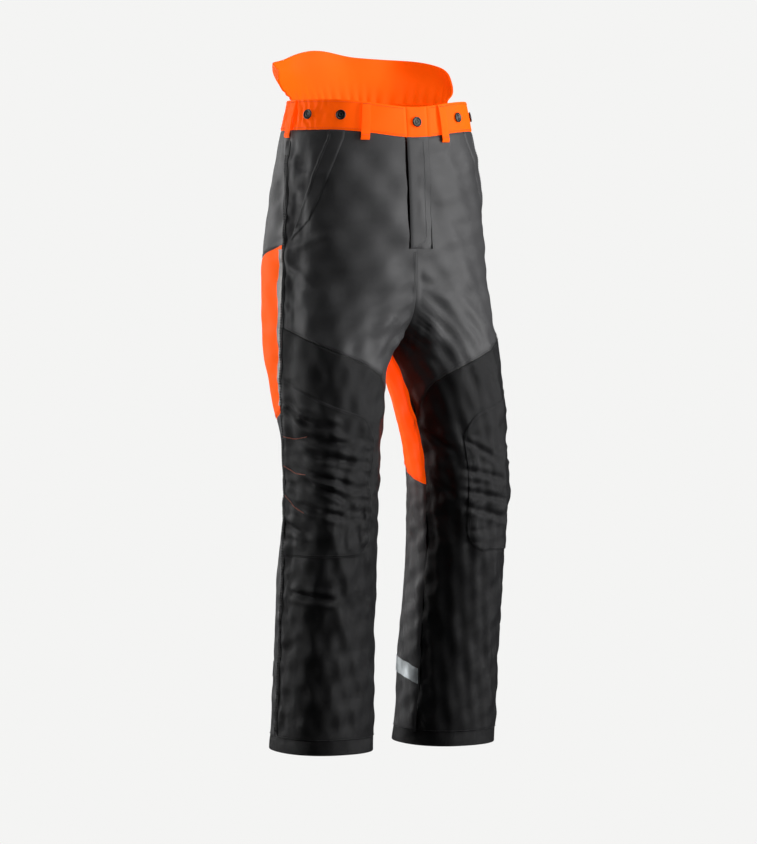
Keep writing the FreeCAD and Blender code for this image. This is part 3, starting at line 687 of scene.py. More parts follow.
CELL = 0.0042                   # size of a cell of the cloth's grid
FINE_CELL = 0.0026
COARSE_CELL = 0.006
KNEE_LIFT = 0.0015              # the knee patch stands this far over the cloth under it
SEAM_ROLL = 0.0045              # the cloth turns in over this width beside a seam
SEAM_DIP = 0.0011


def seam_dip(points):
    """How far the cloth turns in beside its edges."""
    across, down = lengths_along(points, 1), lengths_along(points, 0)
    near = np.minimum(np.minimum(across, across[:, -1:] - across), np.minimum(down, down[-1:] - down))
    return -SEAM_DIP * (1 - np.clip(near / SEAM_ROLL, 0, 1)) ** 2


def cell_counts(edges, cell, coarse, least):
    """Columns and rows that make cells of about one size, measured on a coarse grid."""
    points = skin(*region(*edges, *coarse))
    across = lengths_along(points, 1)[:, -1].max()
    down = lengths_along(points, 0)[-1].max()
    return max(least, int(across / cell)), max(least, int(down / cell))


def panel(name, side, edges, material, lift=0.0, cell=CELL, dip=1.0, crowded=False):
    """Open sheet over a region of one side's surface, with folds and turned-in edges."""
    angle, height = region(*edges, *cell_counts(edges, cell, (8, 8), 3), crowded)
    plain = skin(angle, height)
    fall = seam_dip(plain) * dip
    points = cloth(side, angle, height, lift + fall)
    facing = outward(angle, height)
    facing[..., 0] *= SIDES[side]
    obj = grid_object(name, points, facing)
    obj.data.materials.append(material)
    return obj, plain


def own_side(obj, side):
    """Leave out what reaches past the mid plane."""
    gap = -SEAM_GAP * SIDES[side]
    cut(obj, (gap, 0, 0), (SIDES[side], 0, 0))


# ---------------------------------------------------------------- materials
def linear(red, green, blue):
    """Linear colour from a screen colour of 0 to 255."""
    values = []
    for channel in (red, green, blue):
        share = channel / 255
        values.append(share / 12.92 if share <= 0.04045 else ((share + 0.055) / 1.055) ** 2.4)
    return (*values, 1.0)


def tinted(colour, gain, lift=0.0):
    """Lighter or darker colour of the same hue."""
    return tuple(min(1.0, channel * gain + lift) for channel in colour[:3]) + (1.0,)


class Nodes:
    """Short way to wire a material's nodes."""

    def __init__(self, name):
        self.material = bpy.data.materials.new(name)
        self.material.use_nodes = True
        self.tree = self.material.node_tree
        self.shader = self.tree.nodes["Principled BSDF"]

    def add(self, kind, inputs=None, **settings):
        node = self.tree.nodes.new(kind)
        for key, value in settings.items():
            setattr(node, key, value)
        for key, value in (inputs or {}).items():
            self.wire(value, node.inputs[key])
        return node

    def wire(self, value, socket):
        if isinstance(value, bpy.types.NodeSocket):
            self.tree.links.new(value, socket)
        else:
            socket.default_value = value

    def math(self, operation, a, b=0.0):
        return self.add("ShaderNodeMath", {0: a, 1: b}, operation=operation).outputs[0]

    def blend(self, factor, first, second):
        node = self.add("ShaderNodeMix", {0: factor}, data_type="RGBA")
        self.wire(first, node.inputs[6])
        self.wire(second, node.inputs[7])
        return node.outputs[2]

    def noise(self, place, scale, detail=3.0):
        inputs = {"Vector": place, "Scale": scale, "Detail": detail}
        return self.add("ShaderNodeTexNoise", inputs).outputs[0]

    def place(self, attribute):
        if attribute:
            return self.add("ShaderNodeAttribute", attribute_name=attribute).outputs["Vector"]
        return self.add("ShaderNodeTexCoord").outputs["Object"]

    def bump(self, height, strength, distance, after=None):
        inputs = {"Strength": strength, "Distance": distance, "Height": height}
        node = self.add("ShaderNodeBump", inputs)
        if after is not None:
            self.wire(after, node.inputs["Normal"])
        return node.outputs[0]

    def set(self, name, value):
        self.shader.inputs[name].default_value = value

    def finish(self, colour, grain, roughness, spread, normal):
        """Wire the colour, a roughness that the grain spreads about its middle, and the relief."""
        rough = self.math("ADD", self.math("MULTIPLY", grain, spread), roughness - spread / 2)
        self.wire(colour, self.shader.inputs["Base Color"])
        self.wire(rough, self.shader.inputs["Roughness"])
        self.wire(normal, self.shader.inputs["Normal"])


def weave(name, base, thread, pitch, roughness, sheen=0.0, depth=0.35, slant=0.0, attribute="cloth",
          worn=0.12, specular=0.5, painted_glow=0.0):
    """Woven cloth: warp and weft threads that pass over each other, with uneven dye and soft wear.
    Cloth given painted glow sends out light in its own colour, which brightens its shaded parts."""
    nodes = Nodes(name)
    where = nodes.place(attribute)
    parts = nodes.add("ShaderNodeSeparateXYZ", {0: where}).outputs
    turn = 2 * math.pi / pitch
    along = nodes.math("ADD", parts[0], nodes.math("MULTIPLY", parts[1], slant))
    warp = nodes.math("SINE", nodes.math("MULTIPLY", along, turn))
    weft = nodes.math("SINE", nodes.math("MULTIPLY", parts[1], turn))
    threads = nodes.math("ADD", nodes.math("MULTIPLY", nodes.math("MULTIPLY", warp, weft), 0.5), 0.5)
    slub = nodes.noise(where, 0.35 / pitch, 2.0)
    clouds = nodes.noise(where, 14.0, 4.0)
    mottle = nodes.math("MULTIPLY", nodes.math("ADD", slub, clouds), 0.5)
    dyed = nodes.blend(threads, base, thread)
    amount = nodes.math("MULTIPLY", mottle, worn * 2)
    colour = nodes.blend(amount, dyed, tinted(base, 1.5, 0.01))
    uneven = nodes.bump(nodes.noise(where, 55.0, 3.0), 0.25, 0.0012)
    normal = nodes.bump(threads, depth, pitch * 0.5, uneven)
    nodes.finish(colour, mottle, roughness, 0.16, normal)
    nodes.set("Specular IOR Level", specular)
    # Painted glow: emission in the cloth's own colour lifts its shaded parts as painted light.
    nodes.set("Emission Color", base)
    nodes.set("Emission Strength", painted_glow)
    if sheen:
        nodes.set("Sheen Weight", sheen)
        nodes.set("Sheen Roughness", 0.45)
        nodes.set("Sheen Tint", tinted(base, 2, 0.1))
    return nodes.material


def metal(name, colour, roughness):
    """Worn metal with a fine grain."""
    nodes = Nodes(name)
    grain = nodes.noise(nodes.place(None), 900.0, 4.0)
    shade = nodes.blend(nodes.math("MULTIPLY", grain, 0.6), colour, tinted(colour, 0.55))
    nodes.finish(shade, grain, roughness + 0.025, 0.25, nodes.bump(grain, 0.15, 0.0003))
    nodes.set("Metallic", 1.0)
    return nodes.material


def plastic(name, colour, roughness):
    """Moulded plastic with a faint grain."""
    nodes = Nodes(name)
    grain = nodes.noise(nodes.place(None), 1400.0, 3.0)
    shade = nodes.blend(nodes.math("MULTIPLY", grain, 0.5), colour, tinted(colour, 1.6, 0.01))
    nodes.finish(shade, grain, roughness, 0.2, nodes.bump(grain, 0.12, 0.0002))
    return nodes.material


def reflective_tape(name, dull, bright):
    """Silver tape: fine glass beads, in blotches of its dull and bright colours."""
    nodes = Nodes(name)
    where = nodes.place("cloth")
    beads = nodes.add("ShaderNodeTexVoronoi", {"Vector": where, "Scale": 1600.0}).outputs[0]
    dull_bright_blotches = nodes.noise(where, 90.0, 5.0)
    shade = nodes.blend(dull_bright_blotches, dull, bright)
    nodes.finish(shade, dull_bright_blotches, 0.405, 0.25, nodes.bump(beads, 0.3, 0.0003))
    nodes.set("Metallic", 0.35)
    return nodes.material


def thread(name, colour):
    """Twisted sewing thread."""
    nodes = Nodes(name)
    fibre = nodes.noise(nodes.place(None), 2600.0, 2.0)
    shade = nodes.blend(fibre, tinted(colour, 0.5), colour)
    nodes.finish(shade, fibre, 0.55, 0.3, nodes.bump(fibre, 0.4, 0.0003))
    return nodes.material


# The orange cloth and webbing carry painted glow, which brightens their shaded parts.
ORANGE = weave("orange cloth", linear(250, 88, 4), linear(240, 76, 3), 0.0009, 0.6, 0.0, 0.22,
               worn=0.03, specular=0.06, painted_glow=0.5)
WEBBING = weave("orange webbing", linear(250, 94, 8), linear(236, 74, 4), 0.0014, 0.6, 0.0, 0.4, 1.0,
                worn=0.04, specular=0.06, painted_glow=0.5)
GREY = weave("grey cloth", linear(60, 60, 61), linear(50, 50, 51), 0.0008, 0.44, 0.0, 0.22,
             specular=0.16)
BLACK = weave("black cloth", linear(28, 28, 29), linear(19, 19, 20), 0.0013, 0.46, 0.0, 0.4,
              specular=0.11)
LINING = weave("lining", linear(70, 72, 74), linear(56, 58, 60), 0.0016, 0.6, 0.0, 0.3)
SAW_PROTECTION = weave("saw protection", linear(222, 220, 206), linear(196, 194, 180), 0.0024, 0.8,
                       0.1, 0.5)
ELASTIC = weave("elastic", linear(205, 203, 198), linear(170, 168, 164), 0.0016, 0.7, 0.0, 0.6)
ZIP_TAPE = weave("zip tape", linear(34, 34, 35), linear(24, 24, 25), 0.0009, 0.65, 0.0, 0.4,
                 attribute=None)
REFLECTIVE = reflective_tape("reflective tape", linear(158, 165, 168), linear(196, 202, 204))
# The piping's blotches of dark and pale grey stand in for the shade and highlights of its wrinkles: painted
# shade and painted highlight.
PIPING = reflective_tape("reflective piping", linear(66, 65, 64), linear(124, 122, 120))
STEEL = metal("steel", linear(72, 70, 68), 0.5)
BRASS = metal("zip brass", linear(176, 146, 88), 0.36)
BUTTON_BLACK = plastic("black button", linear(22, 22, 23), 0.4)
GREY_THREAD = thread("grey thread", linear(104, 104, 106))
BLACK_THREAD = thread("black thread", linear(18, 18, 19))
DARK_THREAD = thread("dark thread", linear(58, 58, 60))
ORANGE_THREAD = thread("orange thread", linear(232, 88, 34))
PINK_THREAD = thread("dart thread", linear(236, 150, 128))
MATERIALS = {
    "orange_fabric": ORANGE,
    "grey_fabric": GREY,
    "black_fabric": BLACK,
}


# ---------------------------------------------------------------- shell panels
def corner_drop(angle, radius):
    """How far a level edge of the knee panel bends towards its inner edge."""
    share = np.clip(1 + (angle - KNEE_INNER_ANGLE) / KNEE_CORNER_TURN, 0, 1)
    return radius * (1 - np.sqrt(1 - share ** 2))


def knee_top(angle):
    return smooth(KNEE_TOP_SEAM, angle) - corner_drop(angle, KNEE_TOP_CORNER)


def knee_bottom(angle):
    return KNEE_BOTTOM_Z + corner_drop(angle, KNEE_CORNER)


FRONT_LEFT_EDGE = beside_side_seam(SEAM_ANGLE)
BACK_LEFT_EDGE = beside_side_seam(-SEAM_ANGLE)


def upper_bottom(angle):
    return band_bottom(angle) + 2 * SEAM_GAP


# Name, edges, slot, CAD nodes it stands for, and the bodies: hips or both.
SHELL = (
    ("seat", (BACK_LEFT_EDGE, back_edge, upper_bottom, seam(SEAT_SEAM, SEAM_GAP)),
     "grey_fabric", ("seat",), "hips"),
    ("front_leg", (FRONT_LEFT_EDGE, front_edge, seam(GREY_SEAM, -SEAM_GAP), fixed(HEM_TOP_Z - HEM_TUCK)),
     "black_fabric", ("front_thigh", "inner_knee", "shin_front"), "both"),
    ("back_thigh", (BACK_LEFT_EDGE, back_edge, seam(SEAT_SEAM, -SEAM_GAP), seam(ORANGE_SEAM, SEAM_GAP)),
     "orange_fabric", ("back_thigh",), "both"),
    ("back_calf", (BACK_LEFT_EDGE, back_edge, seam(ORANGE_SEAM, -SEAM_GAP), fixed(HEM_TOP_Z - HEM_TUCK)),
     "grey_fabric", ("back_knee", "calf_back"), "both"),
)


def make_shell():
    for side in SIDES:
        bodies = {"hips": "hips", "both": ("hips", f"shin_{side}")}
        for name, edges, material_slot, nodes, body in SHELL:
            obj, plain = panel(f"{name}_cloth_{side}", side, edges, MATERIALS[material_slot])
            own_side(obj, side)
            named = [f"{node}_{side}" for node in nodes]
            sew(obj, CLOTH, bodies[body], material_slot, *named, lining=LINING)


def make_knee_panels():
    """Knee patches, sewn on over the front of the leg."""
    edges = (FRONT_LEFT_EDGE, fixed(KNEE_INNER_ANGLE), knee_top, knee_bottom)
    for side in SIDES:
        obj, plain = panel(f"knee_cloth_{side}", side, edges, BLACK, KNEE_LIFT, dip=2.0, crowded=True)
        sew(obj, CLOTH, ("hips", f"shin_{side}"), "black_fabric", f"knee_panel_{side}")


def make_front_panels():
    """Grey fronts, with the fly's room cut out of them."""
    edges = (FRONT_LEFT_EDGE, front_edge, upper_bottom, seam(GREY_SEAM, SEAM_GAP))
    openings = {"right": (FLY_EDGE_X - FLY_SHADOW, 0.1), "left": (-0.1, FLY_HINGE_X)}
    for side, (low, high) in openings.items():
        obj, plain = panel(f"front_cloth_{side}", side, edges, GREY)
        own_side(obj, side)
        edge = low if side == "right" else high
        cut(obj, (edge, 0, 0), (1, 0, 0), drop=False)
        cut(obj, (0, 0, FLY_BOTTOM_Z), (0, 0, 1), drop=False)
        drop_faces(obj, lambda p: low < p.x < high and p.z > FLY_BOTTOM_Z and p.y < 0)
        sew(obj, CLOTH, "hips", "grey_fabric", f"front_upper_{side}", lining=LINING)


FLY_GAP = 0.0002                # room round the flap
SHIELD_X = (-0.018, 0.024)
SHIELD_DEPTH = 0.0152
SHIELD_CLOTH = 0.0013
SHIELD_TOP_GAP = 0.004
SHIELD_PAST_FLY = 0.010         # the shield reaches this far under the fly's foot
PLACKET_FOOT_GAP = 0.0003


def at_x(x):
    """Edge along the front at a plane of constant X."""
    return lambda height: angle_at_x(x, height)


def make_fly():
    """The placket and the shield behind the zip."""
    edges = (at_x(FLY_EDGE_X), at_x(FLY_HINGE_X - FLY_GAP), upper_bottom,
             fixed(FLY_BOTTOM_Z + PLACKET_FOOT_GAP))
    front_strip("fly_placket_cloth", edges, GREY, CLOTH, 0.0, "fly_flap", "grey_fabric", "fly_placket")
    edges = (at_x(SHIELD_X[0]), at_x(SHIELD_X[1]), lambda angle: band_bottom(angle) - SHIELD_TOP_GAP,
             fixed(FLY_BOTTOM_Z - SHIELD_PAST_FLY))
    front_strip("fly_shield_cloth", edges, BLACK, SHIELD_CLOTH, -SHIELD_DEPTH, "hips", "black_fabric",
                "fly_shield")


def fly_folds(angle, height):
    """How the left front's folds carry on across the fly: nothing at its free edge."""
    plain = skin(angle, height)
    folded = cloth("left", -angle, height) - skin(-angle, height) * (-1, 1, 1)
    return folded * ease(-0.004, 0.022, plain[..., 0])[..., None]


def front_strip(name, edges, material, thickness, lift, body, material_slot, node):
    """Piece at the centre front, which lies on both sides of the mid plane."""
    columns, rows = cell_counts(edges, FINE_CELL, (6, 6), 8)
    angle, height = region(*edges, columns, rows)
    plain = skin(angle, height)
    free_edge = seam_dip(plain) * (np.arange(columns + 1) < columns / 2)
    points = plain + outward(angle, height) * (lift + free_edge)[..., None]
    if lift == 0:
        points = points + fly_folds(angle, height)
    obj = grid_object(name, points, outward(angle, height))
    obj.data.materials.append(material)
    sew(obj, thickness, body, material_slot, node)


HEM_COLUMNS = 150
HEM_STEPS = 8
HEM_THICKNESS = 0.0030
HEM_EDGE_DIP = 0.0006
HEM_CLOTH = 0.0006


def hem_section():
    """Heights and depths down the hem's outside, round its edge and up inside."""
    drop = HEM_TOP_Z - SEAM_GAP
    radius = HEM_THICKNESS / 2
    share = np.linspace(0, 1, HEM_STEPS)
    outer = mix(drop, HEM_Z + radius, share)
    rows = [(z, -HEM_EDGE_DIP * (1 - t)) for z, t in zip(outer, share)]
    for turn in np.linspace(0, math.pi, 13)[1:-1]:
        rows.append((HEM_Z + radius * (1 - math.sin(turn)), -radius * (1 - math.cos(turn))))
    rows += [(z, -HEM_THICKNESS) for z in reversed(outer)]
    return np.array(rows)


def make_hems():
    """Turned-up hems: the cloth goes round the edge and up inside."""
    rows = hem_section()
    angle = np.linspace(-270.0, 90.0, HEM_COLUMNS + 1)[None, :] + np.zeros((len(rows), 1))
    height = rows[:, :1] + 0 * angle
    lift = rows[:, 1:] + 0 * angle
    where = np.maximum(height, HEM_Z + 0.002)
    for side in SIDES:
        points = cloth(side, angle, where, lift)
        points[..., 2] += height - where
        facing = outward(angle, where)
        facing[..., 0] *= SIDES[side]
        facing[HEM_STEPS:] = 0
        obj = grid_object(f"hem_cloth_{side}", points, facing)
        obj.data.materials.append(BLACK)
        sew(obj, HEM_CLOTH, f"shin_{side}", "black_fabric", f"hem_{side}")


# ---------------------------------------------------------------- waist
BAND_GATHERS = Waves(41, 0.030, 9)
GATHERED_FROM = (38.0, 74.0)    # the elastic's gathers come in between these angles from the front
PLEAT_PITCH = 0.0155
PLEAT_DEPTH = 0.0016
PLEAT_LEAN = 0.016
BAND_WAVE = 0.0007


def band_points(angle, height, lift=0.0):
    """Points of the waistband: flat in front, and gathered by its elastic round the back."""
    angle, height = np.broadcast_arrays(np.asarray(angle, float), np.asarray(height, float))
    turned = np.where(angle < -180, angle + FULL_TURN, angle)
    share = (height - band_bottom(angle)) / BAND_HEIGHT
    u = np.radians(angle) * HIP_RADIUS
    leaning = u + PLEAT_LEAN * (share - 0.5)
    pleat = np.sin(leaning / PLEAT_PITCH * 2 * math.pi + 1.8 * BAND_GATHERS(u, height))
    fullest = 0.45 + 0.55 * np.sin(math.pi * np.clip(share, 0, 1))
    depth = PLEAT_DEPTH * ease(*GATHERED_FROM, np.abs(turned)) * pleat * fullest
    wave = BAND_WAVE * BAND_GATHERS(u * 0.6, height * 0.4)
    return skin(angle, height) + outward(angle, height) * (depth + wave + lift)[..., None]


BAND_ROWS = 18
BAND_CELL = 0.0028


def band_piece(name, left, right, material, depth, thickness, body, material_slot, node, held,
               inset=0.0):
    """Length of waistband between two edges, this deep under the band's outside."""
    edges = (left, right, lambda a: band_top(a) - inset, lambda a: band_bottom(a) + inset)
    columns, _ = cell_counts(edges, BAND_CELL, (12, 4), 8)
    angle, height = region(*edges, columns, BAND_ROWS)
    plain = skin(angle, height)
    points = band_points(angle, height, seam_dip(plain) - depth)
    obj = grid_object(name, points, outward(angle, height))
    obj.data.materials.append(material)
    if node == "waistband_tab":
        cut_buttonhole(obj)
    sew(obj, thickness, body, material_slot, node)


def button_frame(angle, drop):
    """Foot of a button on the band and the way that it points."""
    height = band_top(np.array(angle)) - drop
    return Vector(band_points(angle, height, 0.0)), Vector(outward(np.array(angle), height))


def closure_angle():
    return float(angle_at_x(CLOSURE_X, -CLOSURE_DROP))


BUTTONHOLE_ROOM = 0.0009
BUTTONHOLE_RIM = 1.7            # points this far out, in radii, are drawn in to the hole's edge


def cut_buttonhole(obj):
    """Room for the closure button's head."""
    foot, normal = button_frame(closure_angle(), CLOSURE_DROP)
    mesh = bmesh.new()
    mesh.from_mesh(obj.data)
    radius = BUTTON_RADIUS + BUTTONHOLE_ROOM
    near = [v for v in mesh.verts
            if ((v.co - foot) - (v.co - foot).dot(normal) * normal).length < radius]
    bmesh.ops.delete(mesh, geom=near, context="VERTS")
    rim = [v for v in mesh.verts if v.is_boundary and (v.co - foot).length < radius * BUTTONHOLE_RIM]
    for vertex in rim:
        away = vertex.co - foot
        out = away - away.dot(normal) * normal
        vertex.co = foot + away.dot(normal) * normal + out.normalized() * radius
    mesh.to_mesh(obj.data)
    mesh.free()


TAB_GAP = 0.001                 # room between the tab's free edge and the right band
TAB_RISE = 0.0002
TAB_CLOTH = 0.0022
UNDERLAP_X = (-0.030, 0.024)
UNDERLAP_INSET = 0.001
ELASTIC_MARGIN = 8              # the elastic ends this far behind the side seams
ELASTIC_DEPTH = 0.0054
ELASTIC_CLOTH = 0.0011
ELASTIC_INSET = 0.006


def make_waistband():
    """Front lengths, tab, underlap and back length of the band, and the elastic inside the back."""
    tab = (at_x(TAB_EDGE_X), at_x(FLY_HINGE_X - FLY_GAP))
    right = (fixed(SIDE_SEAM + SEAM_ANGLE), at_x(TAB_EDGE_X - TAB_GAP))
    left = (at_x(FLY_HINGE_X + FLY_GAP), fixed(-SIDE_SEAM - SEAM_ANGLE))
    underlap = (at_x(UNDERLAP_X[0]), at_x(UNDERLAP_X[1]))
    back = (fixed(SIDE_SEAM - SEAM_ANGLE), fixed(-FULL_TURN - SIDE_SEAM + SEAM_ANGLE))
    elastic = (fixed(SIDE_SEAM - ELASTIC_MARGIN), fixed(-FULL_TURN - SIDE_SEAM + ELASTIC_MARGIN))
    orange = "orange_fabric"
    band_piece("waistband_cloth_right", *right, ORANGE, 0, BAND_CLOTH, "hips", orange,
               "waistband_right", "stretched")
    band_piece("waistband_cloth_left", *left, ORANGE, 0, BAND_CLOTH, "hips", orange,
               "waistband_left", "stretched")
    band_piece("waistband_tab_cloth", *tab, ORANGE, -TAB_RISE, TAB_CLOTH, "fly_flap", orange,
               "waistband_tab", "stretched")
    band_piece("waistband_underlap_cloth", *underlap, ORANGE, UNDERLAP_DEPTH, TAB_CLOTH, "hips",
               orange, "waistband_underlap", "stretched", UNDERLAP_INSET)
    band_piece("waistband_cloth_back", *back, ORANGE, 0, BAND_CLOTH, "hips", orange,
               "waistband_back", "gathered")
    band_piece("waist_elastic_strip", *elastic, ELASTIC, ELASTIC_DEPTH, ELASTIC_CLOTH, "hips", "elastic",
               "waist_elastic", "gathered", ELASTIC_INSET)


HIGH_BACK_WAVES = Waves(51, 0.075, 8)
HIGH_BACK_RADIUS = 0.15
HIGH_BACK_FOOT_Z = BAND_TOP_Z - 0.0006
HIGH_BACK_PLEAT = {"pitch": 0.0175, "depth": 0.0020, "reach": 0.016}
HIGH_BACK_FOLD = 0.0055


def high_back_angle(s, t):
    spread = np.sin(math.pi / 2 * t)
    return mix(mix(*HIGH_BACK_RIGHT_END, spread), mix(*HIGH_BACK_LEFT_END, spread), s)


def high_back_points(s, t):
    """The panel above the back band: it leans out, gathered at its foot and wavy higher up."""
    angle = high_back_angle(s, t)
    over = mix(HIGH_BACK_RIGHT_END[1], HIGH_BACK_LEFT_END[1], s)
    height = mix(HIGH_BACK_FOOT_Z, smooth(HIGH_BACK_TOP, over), t)
    above = height - HIGH_BACK_FOOT_Z
    flare = HIGH_BACK_FLARE * above * (1 + 0.5 * np.sin(math.pi * t))
    u = np.radians(angle) * HIGH_BACK_RADIUS
    turn = u / HIGH_BACK_PLEAT["pitch"] * 2 * math.pi
    pleat = np.sin(turn + 2.4 * HIGH_BACK_WAVES(u, height * 0.3))
    low = np.exp(-(np.maximum(above, 0) / HIGH_BACK_PLEAT["reach"]) ** 1.4)
    fold = HIGH_BACK_FOLD * HIGH_BACK_WAVES(u, height * 0.35) * ease(0.05, 0.8, t)
    out = skin(angle, 0 * angle, -flare - HIGH_BACK_PLEAT["depth"] * pleat * low - fold)
    return np.stack([out[..., 0], out[..., 1], height], axis=-1)


def make_high_back():
    """Panel that rises behind the wearer's back, and droops towards the left."""
    s, t = np.meshgrid(np.linspace(0, 1, 191), np.linspace(0, 1, 35))
    points = high_back_points(s, t)
    obj = grid_object("high_back_cloth", points, outward(high_back_angle(s, t), 0 * s))
    obj.data.materials.append(ORANGE)
    sew(obj, BAND_CLOTH, "hips", "orange_fabric", "high_back_panel")


LATHE_SEGMENTS = 40


def lathe(profile, foot, normal):
    """Round solid from radius and height pairs, set on a foot point along a normal."""
    side = normal.orthogonal().normalized()
    other = normal.cross(side)
    count = LATHE_SEGMENTS
    points, faces = [], []
    for radius, height in profile:
        for index in range(count):
            turn = 2 * math.pi * index / count
            spoke = side * math.cos(turn) + other * math.sin(turn)
            points.append(foot + normal * height + spoke * radius)
    for start in range(0, (len(profile) - 1) * count, count):
        for index in range(count):
            after = (index + 1) % count
            faces.append((start + index, start + after, start + count + after, start + count + index))
    faces.append(tuple(range(count - 1, -1, -1)))
    faces.append(tuple(range(len(points) - count, len(points))))
    return points, faces


BUTTON_PROFILE = (
    (0.0024, -0.0034), (0.0024, 0.0006), (0.0068, 0.0008), (0.0081, 0.0012), (0.0085, 0.0020),
    (0.0084, 0.0028), (0.0078, 0.0035), (0.0070, 0.0037), (0.0064, 0.0035), (0.0060, 0.0029),
    (0.0040, 0.0026), (0.0037, 0.0028), (0.0034, 0.0032), (0.0026, 0.0033), (0.0023, 0.0029),
    (0.0020, 0.0027), (0.0006, 0.0027),
)


def lathe_group(name, feet, material):
    points, faces = [], []
    for foot, normal in feet:
        more_points, more_faces = lathe(BUTTON_PROFILE, foot, normal)
        faces += [tuple(index + len(points) for index in face) for face in more_faces]
        points += more_points
    obj = mesh_object(name, [tuple(p) for p in points], faces)
    obj.data.materials.append(material)
    return obj


def make_buttons():
    feet = [button_frame(angle, BUTTON_DROP) for angle in BRACE_BUTTON_ANGLES]
    braces = lathe_group("brace_button_heads", feet, BUTTON_BLACK)
    place(braces, "hips", "black_button")
    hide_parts("brace_buttons")
    closure = lathe_group("closure_button_head", [button_frame(closure_angle(), CLOSURE_DROP)], STEEL)
    place(closure, "hips", "steel")
    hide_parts("closure_button")


LOOP_ROWS = 24
LOOP_LIFT = 0.0012
LOOP_CLOTH = 0.0016


def strap_line(angle):
    """Heights and lifts of a belt loop: from the band's top edge down past its lower edge."""
    top = float(band_top(np.array(angle))) - LOOP_LIFT
    share = np.linspace(0, 1, LOOP_ROWS + 1)
    arch = np.sin(math.pi * share) ** 0.35
    return top - share * LOOP_DROP, LOOP_LIFT + LOOP_ARCH * arch + 0.0016 * ease(0.72, 1.0, share)


def strap_frame(angle, height):
    """Foot on the plain surface, the way out of it and the level way along it."""
    angle = np.full(np.shape(height), float(angle))
    normal = outward(angle, height)
    level = np.cross([0.0, 0.0, 1.0], normal)
    return skin(angle, height), normal, level / np.linalg.norm(level, axis=-1, keepdims=True)


def make_belt_loops():
    """Webbing straps, doubled back at both ends and sewn down with bar tacks."""
    across = np.linspace(-0.5, 0.5, 7) * LOOP_WIDTH
    crown = 0.0004 * (1 - (2 * across / LOOP_WIDTH) ** 2)
    for node, angle in BELT_LOOPS.items():
        height, lift = strap_line(angle)
        foot, normal, level = strap_frame(angle, height[:, None] + 0 * across)
        points = foot + normal * (lift[:, None] + crown)[..., None] + level * across[:, None]
        obj = grid_object(node + "_strap", points, normal)
        obj.data.materials.append(WEBBING)
        sew(obj, LOOP_CLOTH, "hips", "orange_webbing", node)


# ---------------------------------------------------------------- pockets, trim and padding
def mouth_angle(height):
    return smooth(POCKET_MOUTH, height)


POCKET_BAG_DEPTH = 0.0095
POCKET_BAG_CLOTH = 0.0028
POCKET_BAG_ANGLES = (-80.0, -38.0)
POCKET_BAG_Z = (-0.086, -0.318)
WELT_LIFT = 0.0014
WELT_CLOTH = 0.0010


def make_slash_pockets():
    """Welts that stand off the front along the slanted mouths, and the bags inside."""
    welt = (mouth_angle, lambda z: mouth_angle(z) + WELT_ANGLE, upper_bottom, seam(WELT_FOOT))
    bag = [fixed(edge) for edge in POCKET_BAG_ANGLES + POCKET_BAG_Z]
    for side in SIDES:
        obj, plain = panel(f"pocket_welt_cloth_{side}", side, welt, GREY, WELT_LIFT, FINE_CELL)
        sew(obj, WELT_CLOTH, "hips", "grey_fabric", f"pocket_welt_{side}")
        obj, plain = panel(f"pocket_bag_cloth_{side}", side, bag, LINING, -POCKET_BAG_DEPTH,
                           COARSE_CELL)
        sew(obj, POCKET_BAG_CLOTH, "hips", "lining", f"pocket_bag_{side}")


POCKET_LIFT = 0.0030
POCKET_CLOTH = 0.0018
FLAP_LIFT = 0.0062
FLAP_DROP = 0.044


def make_back_pocket():
    """Pocket sewn on the seat, and the flap that swings over its mouth."""
    outer, inner = BACK_POCKET_ANGLES
    top_z, bottom_z = BACK_POCKET_Z
    edges = (fixed(outer), fixed(inner), fixed(top_z), fixed(bottom_z))
    obj, plain = panel("back_pocket_cloth", "right", edges, GREY, POCKET_LIFT, 0.003)
    sew(obj, POCKET_CLOTH, "hips", "grey_fabric", "back_pocket")
    edges = (fixed(outer + 1.5), fixed(inner - 1.5), fixed(top_z + 0.008), fixed(top_z - FLAP_DROP))
    obj, plain = panel("back_pocket_flap_cloth", "right", edges, GREY, FLAP_LIFT, 0.003)
    sew(obj, POCKET_CLOTH, "back_pocket_flap", "grey_fabric", "back_pocket_flap")


TAPE_LIFT = 0.0012
TAPE_CLOTH = 0.0007
TAPE_CELL = 0.003
PIPING_CLOTH = 0.0008
PIPING_CELL = 0.0018


def make_trim():
    """Reflective piping down the outer thigh and the band round the calf."""
    for side in SIDES:
        edges = (beside_side_seam(-PIPING_ANGLES[0]), beside_side_seam(-PIPING_ANGLES[1]),
                 fixed(PIPING_Z[0]), fixed(PIPING_Z[1]))
        obj, _ = panel(f"piping_tape_{side}", side, edges, PIPING, TAPE_LIFT, PIPING_CELL, 0.0)
        sew(obj, PIPING_CLOTH, "hips", "reflective", f"reflective_piping_{side}")
        edges = (fixed(BAND_STRIP_START), lambda z: back_edge(z) + 1.0, seam(BAND_STRIP_TOP),
                 seam(BAND_STRIP_TOP, -BAND_STRIP_HEIGHT))
        obj, plain = panel(f"reflective_tape_{side}", side, edges, REFLECTIVE, TAPE_LIFT, TAPE_CELL,
                           0.0)
        sew(obj, TAPE_CLOTH, f"shin_{side}", "reflective", f"reflective_band_{side}")


INSERT_OUTER = -72.0
INSERT_INNER = 66.0             # or 2 degrees short of the inner seam, where that is nearer
INSERT_Z = (-0.264, -1.022)


